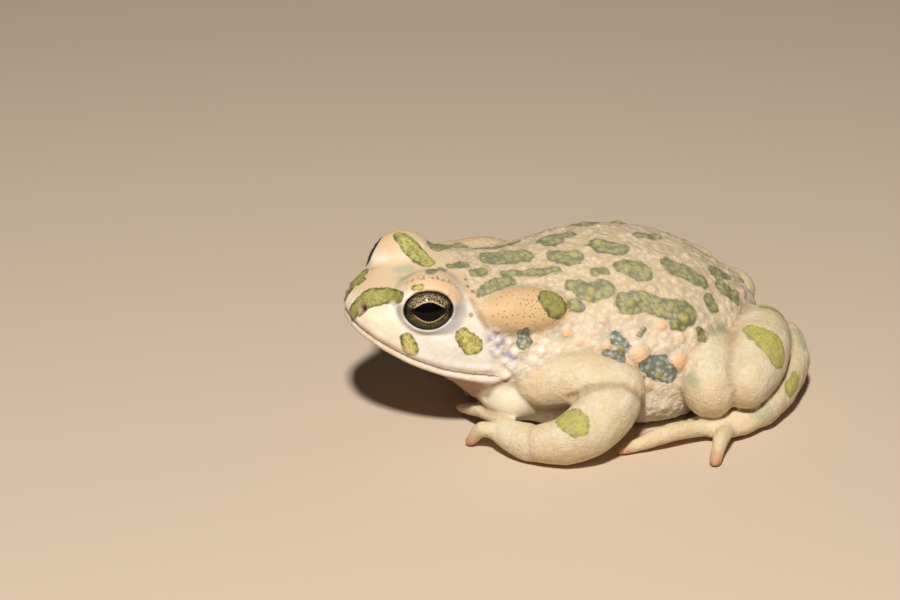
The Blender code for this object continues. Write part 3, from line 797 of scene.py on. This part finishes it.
for side in (1, -1):
    middle, away, _, z, oval = seen_from_eye(moved, side)
    inside = (oval < 1.0) & (z > 0) & (z < EYE_DEEP)
    far = np.linalg.norm(away[inside], axis=1)
    moved[inside] = middle + away[inside] * np.minimum(1.0, (EYE_RADIUS - EYE_SINK) / far)[:, None]
moved[:, 2] = np.maximum(moved[:, 2], 0.0)
moved = moved * MM + ORIGIN
skin.data.vertices.foreach_set("co", moved.astype(np.float32).ravel())
skin.data.update()
print("moved by up to", round(float(np.abs(move).max()), 2))

# %% Around the eyes
LID_REACH = 9.0
# The mean radius of the opening turns a share of the oval into millimetres
LID_RADIUS = 3.1
LID_CREST = (2.3, 0.3)
lower_lid, upper_lid, lid_fold = np.zeros((3, len(spots)))
for side in (1, -1):
    _, away, y, z, oval = seen_from_eye(spots, side)
    near = (z > -1.5) & (np.linalg.norm(away, axis=1) < LID_REACH)
    beyond = (oval - 1) * LID_RADIUS
    behind = soft_step(away[:, 1], -1.0, 3.0)
    below = near * (1 - soft_step(y, 0.0, 1.6))
    below = below * (1 - soft_step(beyond, 0.9 + 0.9 * behind, 1.4 + 1.3 * behind))
    lower_lid = np.maximum(lower_lid, below)
    front = 1 - soft_step(-away[:, 1], 2.0, 3.4)
    over = near * front * soft_step(y, 0.2, 1.4) * (1 - soft_step(beyond, 1.7, 2.4))
    upper_lid = np.maximum(upper_lid, over)
    crest = hump(beyond, *LID_CREST) * soft_step(z, 0.6, 1.4)
    lid_fold = np.maximum(lid_fold, near * soft_step(y, 0.3, 1.6) * crest)
print("on the lids", int((lower_lid > 0.5).sum()), int((upper_lid > 0.5).sum()))

# %% Tips of the digits
TIPS = (
    (9.8, 22.0, 0.7), (3.0, 18.0, 1.6), (12.2, 15.8, 0.7), (15.6, 27.4, 0.7), (20.6, 51.4, 0.7),
    (21.2, 46.4, 0.7), (21.4, 41.4, 0.7), (23.6, 36.4, 0.8), (32.0, 48.2, 0.8),
)
TIP_REACH = (-2.6, -0.5)
# Tips nearer to the snout than this are fingers, the others toes
LAST_FINGER = 30
to_tip = np.full(len(spots), OUTSIDE)
for spot in TIPS:
    shift = ARM_SHIFT if spot[1] < LAST_FINGER else LEG_SHIFT
    to_tip = np.maximum(to_tip, depth_both([(*spot, 0.0)], shift))
reddish = feet * soft_step(to_tip, *TIP_REACH)
print("reddish", int((reddish > 0.5).sum()))

# %% Paint masks
PATCH_LIMIT = 3.0
masks = {}
for kind, patches in chains.items():
    depths = [depth_in(chain, spots) for chain in patches.values()]
    masks["patch_" + kind] = np.clip(np.max(depths, axis=0), -PATCH_LIMIT, PATCH_LIMIT)
deep = np.zeros(len(spots))
for name, share in (("on_parotoid", 1.0), ("canthus", 0.85), ("far_lid", 0.5), ("far_snout", 0.5)):
    for word in ("", "_right"):
        if name + word in chains["head"]:
            inside = soft_step(depth_in(chains["head"][name + word], spots), -1.0, 0.5)
            deep = np.maximum(deep, share * inside)
BLUE = ((494, 338, 1.4), (502, 352, 1.8), (516, 356, 1.5))
JAW = ((492, 345, 2.5), (507, 362, 3.0), (526, 362, 3.2), (545, 356, 2.5))
DOTS = ((471, 315, 0.40), (468, 286, 0.36), (473, 291, 0.40), (478, 296, 0.32), (466, 279, 0.32))
dots = chain_from_pixels(DOTS)
dots += mirrored_chain(dots)
masks.update(
    tip=tip, orange=orange, limb=limb, head=head, belly=belly, parotoid=parotoid, chest=chest,
    reddish=reddish, deep=deep, lower_lid=lower_lid, upper_lid=upper_lid, lid_fold=lid_fold,
    upper=(1 - limb) * soft_step(normals[:, 2], 0.35, 0.85),
    # Painted shade: the throat under the jaw is coloured dark brown for the shade that falls there
    throat=(1 - limb) * (1 - soft_step(back, 24.0, 29.0)) * soft_step(under_jaw, 0.7, 1.5),
    mouth_side=np.clip(mouth, -3, 0) * np.sign(under_jaw),
    mouth_near=soft_step(mouth, -1.2, -0.7),
    # Creases and folds between parts, painted dark brown as painted shade
    crease=np.maximum(hump(creases, 0.0, 0.4), fold),
    blue=soft_step(depth_both(chain_from_pixels(BLUE)), -0.6, 0.8),
    jaw=soft_step(depth_both(chain_from_pixels(JAW)), -0.8, 0.8),
    lip=hump(mouth, -0.8, 0.45) * head,
)
for name, values in masks.items():
    mask = skin.data.attributes.new(name, "FLOAT", "POINT")
    mask.data.foreach_set("value", np.asarray(values, np.float32))
only(skin)
bpy.ops.object.shade_smooth()
print("masks", len(masks))

# %% [markdown]
# The paint reads the masks and adds what is too fine for the mesh: granules, pores, mottling and wet gloss.
# A toad's skin is layered colour, a pale ground with green patches whose edges are dark and ragged, so the
# material is built as coats laid one over another. Small helpers keep the node trees short.

# %% Helpers for materials


class Paint:
    """A material with a few calls for the nodes that this animal needs."""

    def __init__(self, name):
        self.material = bpy.data.materials.new(name)
        self.material.use_nodes = True
        self.tree = self.material.node_tree
        self.shader = self.tree.nodes["Principled BSDF"]

    def fill(self, node, inputs):
        """Give inputs of a node their values: numbers, colours, other sockets or names of masks."""
        for socket, value in inputs.items():
            if isinstance(value, str):
                value = self.node("Attribute", {}, attribute_name=value)["Fac"]
            if isinstance(value, bpy.types.NodeSocket):
                self.tree.links.new(value, node.inputs[socket])
            else:
                node.inputs[socket].default_value = value

    def node(self, kind, inputs, **settings):
        """The outputs of a new node with these settings and inputs."""
        node = self.tree.nodes.new("ShaderNode" + kind)
        for name, value in settings.items():
            setattr(node, name, value)
        self.fill(node, inputs)
        return node.outputs

    def math(self, operation, a, b=0.0, clamp=False):
        return self.node("Math", {0: a, 1: b}, operation=operation, use_clamp=clamp)[0]

    def times(self, a, b):
        return self.math("MULTIPLY", a, b)

    def plus(self, a, b):
        return self.math("ADD", a, b)

    def minus(self, a, b, clamp=False):
        return self.math("SUBTRACT", a, b, clamp)

    def step(self, value, low, high, bottom=0.0, top=1.0):
        """A smooth rise from bottom to top as the value goes from low to high."""
        inputs = {"Value": value, "From Min": low, "From Max": high, "To Min": bottom, "To Max": top}
        return self.node("MapRange", inputs, interpolation_type="SMOOTHSTEP")[0]

    def fall(self, value, low, high):
        """A smooth fall from 1 to 0 as the value goes from low to high."""
        return self.step(value, low, high, 1.0, 0.0)

    def mix(self, share, a, b):
        return self.node("Mix", {0: share, 6: a, 7: b}, data_type="RGBA")[2]

    def places(self):
        return self.node("TexCoord", {})["Object"]

    def noise(self, size, detail=3.0, rough=0.55):
        """Soft noise with blobs about so many millimetres across, from 0 to 1."""
        inputs = {"Vector": self.places(), "Scale": 1 / (size * MM), "Detail": detail, "Roughness": rough}
        return self.node("TexNoise", inputs)[0]

    def cells(self, size, feature="F1"):
        """Distance within cells about so many millimetres apart, in cell widths."""
        inputs = {"Vector": self.places(), "Scale": 1 / (size * MM)}
        return self.node("TexVoronoi", inputs, feature=feature)["Distance"]

    def vector(self, operation, a, b):
        return self.node("VectorMath", {0: a, 1: b}, operation=operation)

    def along(self, origin, direction):
        """How far a place lies from the origin along a direction, in millimetres."""
        away = self.vector("SUBTRACT", self.places(), origin)[0]
        return self.times(self.vector("DOT_PRODUCT", away, direction)["Value"], 1 / MM)

    def gap(self, spot):
        """The distance from a place, in millimetres."""
        return self.times(self.vector("DISTANCE", self.places(), spot)["Value"], 1 / MM)

    def bump(self, height, depth, strength, below):
        """Relief of some depth in millimetres, on top of the relief below it."""
        inputs = {"Height": height, "Distance": depth * MM, "Strength": strength}
        if below is not None:
            inputs["Normal"] = below
        return self.node("Bump", inputs)[0]


# %% Ground colours of the skin
FLANK_CREAM = (0.76, 0.61, 0.43, 1)
FLANK_GREY = (0.56, 0.46, 0.34, 1)
# The tan of skin that faces up, set as dark as the less-lit back: partly its own colour, partly painted
# shade
BACK_TAN_AND_SHADE = (0.56, 0.42, 0.25, 1)
HEAD_PEACH = (0.70, 0.50, 0.30, 1)
HEAD_ORANGE = (0.72, 0.42, 0.21, 1)
HEAD_TOP = (0.66, 0.45, 0.25, 1)
# The head's whitish cream ground, raised to the white of a highlight on the cheek: partly its own colour,
# partly painted highlight
CHEEK_CREAM_AND_HIGHLIGHT = (0.96, 0.92, 0.84, 1)
# The snout's own cream, made paler as painted light on the front of the snout that the lamps leave dim
SNOUT_LIT_CREAM = (0.96, 0.86, 0.64, 1)
LIMB_YELLOW = (0.68, 0.54, 0.335, 1)
LIMB_PALE = (0.73, 0.62, 0.44, 1)
LIMB_TAN = (0.58, 0.42, 0.22, 1)
BELLY_WHITE = (0.78, 0.69, 0.52, 1)
# Painted shade: a dark brown for the throat in the shade under the jaw
THROAT_SHADE_BROWN = (0.30, 0.155, 0.06, 1)
CHEST_WHITE = (0.88, 0.78, 0.60, 1)
GRANULE_PALE = (0.84, 0.70, 0.54, 1)
GLAND_TAN = (0.66, 0.44, 0.22, 1)
PORE = (0.20, 0.10, 0.04, 1)
# A brown for painted shade in creases, folds and the mouth line, and for the real freckles on the lids and
# neck
SHADE_AND_FRECKLE_BROWN = (0.22, 0.11, 0.045, 1)
SKIN_BLUE = (0.30, 0.28, 0.44, 1)
TUBERCLE_WHITE = (0.90, 0.82, 0.70, 1)
LID_GREY = (0.44, 0.41, 0.38, 1)
LID_PEACH = (0.76, 0.50, 0.28, 1)
TIP_RED = (0.52, 0.22, 0.10, 1)
# A white for the pale lower lid line and for the front corner of each eye, where it is partly pale skin and
# partly a painted highlight
LID_WHITE_AND_GLINT = (0.86, 0.84, 0.80, 1)
RIM_BLACK = (0.02, 0.016, 0.01, 1)

paint = Paint("toad_skin")


def coats(colour, *more):
    """A colour with coats laid over it, each given as (where, strength, colour)."""
    for where, strength, over in more:
        colour = paint.mix(paint.times(where, strength), colour, over)
    return colour


granule = paint.fall(paint.cells(0.85), 0.15, 0.75)
fine = paint.fall(paint.cells(0.42), 0.1, 0.8)
wrinkle = paint.noise(0.9, 3.0, 0.6)
blotch = paint.step(paint.noise(6.0), 0.42, 0.62)
mottle = paint.step(paint.noise(1.4, 4.0), 0.40, 0.68)
behind_snout = paint.along(place(0, 0, 0), (0, 1, 0))
head_colour = coats(
    # Whitish cream, partly painted highlight
    CHEEK_CREAM_AND_HIGHLIGHT,
    # Painted light: the snout is paler towards its tip, over its own cream
    (paint.fall(behind_snout, 4.0, 10.0), 0.8, SNOUT_LIT_CREAM),
    (paint.step(paint.noise(5.0), 0.40, 0.62), 0.2, HEAD_PEACH),
    ("upper", 0.85, HEAD_TOP),
    (paint.step(paint.noise(2.4, 4.0), 0.50, 0.68), 0.22, HEAD_ORANGE),
)
crack = paint.fall(paint.cells(1.2, "DISTANCE_TO_EDGE"), 0.01, 0.10)
crack = paint.times(crack, "limb")
limb_colour = coats(
    paint.mix(blotch, LIMB_YELLOW, LIMB_PALE),
    (paint.fall(wrinkle, 0.34, 0.48), 0.3, LIMB_TAN),
    (crack, 0.18, LIMB_TAN),
)
bluish = paint.times("blue", paint.step(paint.noise(1.6), 0.42, 0.6))
ground = coats(
    paint.mix(blotch, FLANK_CREAM, FLANK_GREY),
    # Skin facing up is darker: partly its own tan, partly painted shade
    ("upper", 0.85, BACK_TAN_AND_SHADE),
    ("belly", 1.0, BELLY_WHITE),
    (granule, 0.5, GRANULE_PALE),
    ("head", 1.0, head_colour),
    # Painted shade under the jaw
    ("throat", 0.92, THROAT_SHADE_BROWN),
    ("chest", 1.0, CHEST_WHITE),
    ("jaw", 0.35, TUBERCLE_WHITE),
    (bluish, 0.8, SKIN_BLUE),
    (paint.times("jaw", "tip"), 1.0, TUBERCLE_WHITE),
    ("limb", 1.0, limb_colour),
    ("parotoid", 1.0, GLAND_TAN),
    (mottle, 0.14, FLANK_GREY),
    ("upper_lid", 0.8, LID_PEACH),
)
print("ground layers", len(paint.tree.nodes))

# %% Green patches, warts, pores and painted shade in folds
NET_DARK = (0.06, 0.07, 0.035, 1)
BACK_OLIVE = (0.38, 0.34, 0.15, 1)
OLIVE_DEEP = (0.24, 0.23, 0.10, 1)
BACK_SAGE = (0.45, 0.43, 0.29, 1)
WART_YELLOW = (0.48, 0.40, 0.08, 1)
HEAD_GREEN = (0.68, 0.60, 0.20, 1)
GREEN_DEEP = (0.21, 0.20, 0.045, 1)
LIMB_GREEN = (0.50, 0.44, 0.11, 1)
FAINT_GREEN = (0.50, 0.47, 0.30, 1)
SLATE = (0.18, 0.20, 0.16, 1)
SLATE_PALE = (0.46, 0.47, 0.38, 1)
OUTLINE = (0.05, 0.055, 0.025, 1)
ORANGE = (0.85, 0.49, 0.27, 1)

RAGGED = 1.6
ragged = paint.times(paint.minus(paint.noise(1.5, 3.0), 0.5), RAGGED)
ragged = paint.plus(ragged, paint.times(granule, 0.22))
speck = paint.fall(paint.cells(0.42), 0.16, 0.34)
cloud = paint.step(paint.noise(0.9, 3.0), 0.42, 0.60)
scatter = paint.times(cloud, 0.60)


def patched(colour, kind, green, outline, soft, rough):
    """Lay patches of a kind with ragged, darker edges over the colour below them."""
    edge = paint.plus("patch_" + kind, paint.times(ragged, rough))
    dark = paint.times(paint.fall(edge, 0.1, 0.75), paint.step(cloud, 0.0, 1.0, 0.55, 1.0))
    green = coats(green, (dark, outline, OUTLINE))
    return paint.mix(paint.step(edge, -soft, soft), colour, green)


olive = coats(
    paint.mix(paint.step(paint.noise(2.4, 3.0), 0.38, 0.62), BACK_OLIVE, OLIVE_DEEP),
    (paint.step(paint.cells(0.85), 0.42, 0.62), 0.60, NET_DARK),
    ("tip", 0.7, WART_YELLOW),
    ("upper", 0.3, BACK_SAGE),
)
head_green = coats(HEAD_GREEN, ("deep", 0.7, GREEN_DEEP))
head_green = coats(paint.mix(scatter, head_green, GREEN_DEEP), (speck, 0.6, NET_DARK))
limb_green = coats(paint.mix(scatter, LIMB_GREEN, BACK_OLIVE), (speck, 0.35, NET_DARK))
slate = paint.mix(paint.fall(paint.cells(0.8), 0.2, 0.65), SLATE, SLATE_PALE)
slate = coats(slate, ("tip", 0.6, WART_YELLOW))
colour = coats(ground, (paint.step("orange", 0.12, 0.7), 0.7, ORANGE))
colour = patched(colour, "slate", slate, 0.4, 0.16, 1.0)
colour = patched(colour, "back", olive, 0.4, 0.24, 1.0)
colour = patched(colour, "limb", limb_green, 0.3, 0.18, 0.7)
colour = patched(colour, "faint", FAINT_GREEN, 0.15, 0.7, 0.9)
colour = patched(colour, "head", head_green, 0.75, 0.11, 0.55)
pore = paint.times(paint.fall(paint.cells(0.56), 0.14, 0.23), "parotoid")
colour = coats(
    colour,
    (paint.step("orange", 0.55, 0.95), 0.6, ORANGE),
    (pore, 0.8, PORE),
    ("reddish", 0.7, TIP_RED),
    # Painted shade in the creases and folds
    ("crease", 0.5, SHADE_AND_FRECKLE_BROWN),
)
print("patch layers", len(paint.tree.nodes))

# %% Face
LIP_PINK = (0.82, 0.60, 0.44, 1)
NOSTRIL_BROWN = (0.34, 0.22, 0.15, 1)
# Painted shade: the black inside each nostril
NOSTRIL_SHADE_BLACK = (0.015, 0.01, 0.008, 1)
# The front corner of the near eye: pale skin with a painted highlight
EYE_CORNER_PALE_AND_GLINT = (393, 306, 0.8)
RIM_EDGE = (1.08, 1.12)
# The dark line along the mouth is painted shade in its slit
mouth_line = paint.fall(paint.math("ABSOLUTE", "mouth_side"), 0.10, 0.30)
freckle = paint.step(paint.noise(0.5, 2.0), 0.42, 0.6)
colour = coats(
    colour,
    ("lip", 0.35, LIP_PINK),
    (paint.times(mouth_line, "mouth_near"), 0.8, SHADE_AND_FRECKLE_BROWN),
    ("lower_lid", 0.9, LID_GREY),
    (paint.times("lid_fold", freckle), 0.75, SHADE_AND_FRECKLE_BROWN),
)
for *spot, radius in dots:
    near = paint.fall(paint.gap(place(*spot)), 0.6 * radius, 1.25 * radius)
    colour = coats(colour, (near, 0.7, SHADE_AND_FRECKLE_BROWN))
# A pale spot at the front corner of each eye: partly pale skin, partly a painted highlight
corner_pale_and_glint = chain_from_pixels([EYE_CORNER_PALE_AND_GLINT])
for *spot, radius in corner_pale_and_glint + mirrored_chain(corner_pale_and_glint):
    near = paint.fall(paint.gap(place(*spot)), 0.5 * radius, 1.4 * radius)
    colour = coats(colour, (near, 0.6, LID_WHITE_AND_GLINT))
for side in (1, -1):
    centre, level, rise, out = eye_frame(side)
    wide = paint.math("DIVIDE", paint.along(centre, level), LID_OPENING[side][0])
    high = paint.math("DIVIDE", paint.along(centre, rise), LID_OPENING[side][1])
    reach = paint.math("SQRT", paint.plus(paint.math("POWER", wide, 2.0), paint.math("POWER", high, 2.0)))
    facing = paint.step(paint.along(centre, out), 0.4, 0.8)
    below = paint.times(facing, paint.fall(high, -0.1, 0.2))
    line = paint.times(paint.step(reach, 1.10, 1.13), paint.fall(reach, 1.16, 1.20))
    if side < 0:
        # The front edge of the far eye has a broader dark rim, as the photograph shows it past the lid
        reach = paint.minus(reach, paint.step(wide, -0.7, -0.1, 0.10, 0.0))
    edge = paint.fall(reach, *RIM_EDGE)
    colour = coats(
        colour,
        (paint.times(line, below), 0.4, LID_WHITE_AND_GLINT),
        (paint.times(edge, facing), 0.97, RIM_BLACK),
    )
# Each nostril has a reddish-brown rim, and its hole is painted black as the shade inside it
for *spot, _ in (nostril_at, mirrored_chain([nostril_at])[0]):
    gap = paint.gap(place(*spot))
    colour = coats(
        colour,
        (paint.fall(gap, 0.65, 1.1), 0.75, NOSTRIL_BROWN),
        (paint.fall(gap, 0.50, 0.68), 1.0, NOSTRIL_SHADE_BLACK),
    )
print("face layers", len(paint.tree.nodes))

# %% Gloss and fine relief
SMOOTH_PARTS = ("parotoid", "upper_lid", "lower_lid", "chest")
# How much rougher the limbs and the back are than the flanks
MATT = 0.14
gloss = paint.step(paint.noise(0.6, 2.0), 0.3, 0.7, 0.42, 0.60)
matt = paint.math("MAXIMUM", "limb", "upper")
finish = {
    "Base Color": colour,
    "Roughness": paint.plus(gloss, paint.times(matt, MATT)),
    "Specular IOR Level": 0.38,
    "Subsurface Weight": 0.12,
    "Subsurface Radius": (1.0, 0.45, 0.25),
    "Subsurface Scale": 0.8 * MM,
}
smooth_skin = "limb"
for name in SMOOTH_PARTS:
    smooth_skin = paint.math("MAXIMUM", smooth_skin, name)
smooth_skin = paint.math("MAXIMUM", smooth_skin, paint.times("head", 0.85))
rough_skin = paint.minus(1.0, smooth_skin, clamp=True)
granular = paint.times(rough_skin, paint.step("upper", 0.0, 1.0, 1.0, 0.4))
bumps = None
# Each row is a height from 0 to 1, what it is multiplied by, its depth in millimetres and its strength
for height, share, depth, strength in (
    (granule, granular, 0.09, 0.7),
    (fine, paint.step(rough_skin, 0.0, 1.0, 0.45, 1.0), 0.05, 0.7),
    (wrinkle, "limb", 0.22, 0.8),
    (paint.noise(0.32, 2.0), "limb", 0.09, 0.7),
    (crack, -1.0, 0.05, 0.6),
    (pore, -1.0, 0.08, 1.0),
):
    bumps = paint.bump(paint.times(height, share), depth, strength, bumps)
paint.fill(paint.shader, {**finish, "Normal": bumps})
skin.data.materials.clear()
skin.data.materials.append(paint.material)
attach(skin, "root")
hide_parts(*FLESH)
print("skin triangles", sum(len(p.vertices) - 2 for p in skin.data.polygons))

# %% [markdown]
# The eye is a wet dark ball. Its iris is black, peppered with gold that thickens round the pupil, and the
# pupil is a lens lying level. The pattern is drawn on a map whose two numbers are the distances along the
# eye's level and rising directions, in millimetres, so one material serves both eyes.

# %% Paint for the eyes
IRIS_SCALE = 10.0
PUPIL = (2.75, 1.5)
# The pupil's outline is |across| to this power plus |up|, which gives a lens with blunt ends
PUPIL_POWER = 1.8
IRIS_EDGE = (3.5, 2.85)
IRIS_BLACK = (0.012, 0.010, 0.005, 1)
GOLD_LOW = (0.36, 0.33, 0.13, 1)
GOLD_HIGH = (0.62, 0.48, 0.27, 1)
RING_GOLD = (0.60, 0.46, 0.27, 1)
PUPIL_BLACK = (0.002, 0.002, 0.002, 1)
wet = Paint("eye")
split = wet.node("SeparateXYZ", {0: wet.node("UVMap", {}, uv_map="iris")[0]})
across = wet.times(wet.minus(split[0], 0.5), IRIS_SCALE)
rising = wet.times(wet.minus(split[1], 0.5), IRIS_SCALE)
wide = wet.math("POWER", wet.math("ABSOLUTE", wet.math("DIVIDE", across, PUPIL[0])), PUPIL_POWER)
high = wet.math("ABSOLUTE", wet.math("DIVIDE", rising, PUPIL[1]))
pupil = wet.plus(wide, high)
far_across = wet.math("POWER", wet.math("DIVIDE", across, IRIS_EDGE[0]), 2.0)
far_up = wet.math("POWER", wet.math("DIVIDE", rising, IRIS_EDGE[1]), 2.0)
far_out = wet.plus(far_across, far_up)
speckle = wet.step(wet.noise(0.2, 4.0, 0.75), 0.48, 0.56)
gold_colour = wet.mix(wet.step(rising, -0.6, 0.8), GOLD_LOW, GOLD_HIGH)
above_band = wet.times(wet.step(rising, 0.2, 1.1), 0.75)
below_band = wet.times(wet.fall(rising, -1.1, -0.3), 0.5)
gold = wet.plus(wet.plus(above_band, below_band), 0.08)
gold = wet.times(gold, wet.step(far_out, 0.70, 0.98, 1.0, 0.12))
iris = wet.mix(wet.times(speckle, gold), IRIS_BLACK, gold_colour)
ring = wet.times(wet.step(pupil, 1.0, 1.05), wet.fall(pupil, 1.08, 1.22))
ring = wet.times(ring, wet.step(high, 0.25, 0.6))
iris = wet.mix(wet.times(ring, 0.9), iris, RING_GOLD)
iris = wet.mix(wet.fall(pupil, 0.97, 1.03), iris, PUPIL_BLACK)
finish = {
    "Base Color": iris,
    "Roughness": 0.25,
    "Specular IOR Level": 0.05,
    "Coat Weight": 0.5,
    "Coat IOR": 1.3,
    "Coat Roughness": 0.03,
}
wet.fill(wet.shader, finish)
print("eye layers", len(wet.tree.nodes))

# %% Eyes
# The cornea swells by this share at its middle. It starts at this share of the radius and has the rest
CORNEA = 0.035
CORNEA_STARTS, CORNEA_SPAN = 0.55, 0.45


def eyeball(word, side):
    centre, level, rise, axis = eye_frame(side)
    bpy.ops.mesh.primitive_uv_sphere_add(
        segments=96, ring_count=48, radius=EYE_RADIUS * MM, location=(0, 0, 0)
    )
    ball = bpy.context.object
    ball.name = "eyeball_" + word
    turn = axis.to_track_quat("Z", "Y").to_matrix()
    layer = ball.data.uv_layers.active or ball.data.uv_layers.new()
    layer.name = "iris"
    for vertex in ball.data.vertices:
        out = vertex.co.z / (EYE_RADIUS * MM)
        swell = max(0.0, (out - CORNEA_STARTS) / CORNEA_SPAN) ** 1.5
        vertex.co = turn @ (vertex.co * (1 + CORNEA * swell))
    for loop in ball.data.loops:
        spot = ball.data.vertices[loop.vertex_index].co / MM
        layer.data[loop.index].uv = (0.5 + spot.dot(level) / IRIS_SCALE, 0.5 + spot.dot(rise) / IRIS_SCALE)
    for vertex in ball.data.vertices:
        vertex.co += centre
    only(ball)
    bpy.ops.object.shade_smooth()
    ball.data.materials.clear()
    ball.data.materials.append(wet.material)
    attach(ball, "root")
    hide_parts("eye_" + word)
    return ball


eyes = [eyeball("left", 1), eyeball("right", -1)]
print("eyes", [ball.name for ball in eyes])

# %% [markdown]
# A plain floor and two lamps show the model as a small studio would. A small, strong lamp high up beside the
# camera gives the short, dark shadow under the jaw, as the sun does in the photograph. A broad, weak one and
# a dim sky fill that shadow a little.

# %% Floor and lights
bpy.ops.mesh.primitive_plane_add(size=1.6, location=(0, 0, 0))
floor = bpy.context.object
floor.name = "floor"
FLOOR_SAND = (0.62, 0.49, 0.365, 1)
floor_paint = Paint("floor")
floor_paint.fill(floor_paint.shader, {"Base Color": FLOOR_SAND, "Roughness": 0.9})
floor.data.materials.append(floor_paint.material)


def lamp(name, azimuth, elevation, reach, size, power, colour):
    """An area lamp turned to the toad, with its place in degrees and metres."""
    out = towards(azimuth, elevation)
    bpy.ops.object.light_add(type="AREA", location=out * reach)
    light = bpy.context.object
    light.name = name
    light.rotation_euler = out.to_track_quat("Z", "Y").to_euler()
    light.data.size = size
    light.data.energy = power
    light.data.color = colour
    return light


WARM_LIGHT = (1.0, 0.97, 0.93)
SKY_STRENGTH = 0.04
lamp("key", azimuth=62, elevation=57, reach=0.6, size=0.05, power=4.2, colour=WARM_LIGHT)
fill = lamp("fill", azimuth=45, elevation=30, reach=0.8, size=0.3, power=0.15, colour=(1.0, 0.98, 0.95))
fill.visible_glossy = False
bpy.context.scene.view_settings.view_transform = "Standard"
world = bpy.data.worlds.new("studio")
bpy.context.scene.world = world
world.use_nodes = True
sky = world.node_tree.nodes["Background"]
sky.inputs["Color"].default_value = (*WARM_LIGHT, 1)
sky.inputs["Strength"].default_value = SKY_STRENGTH
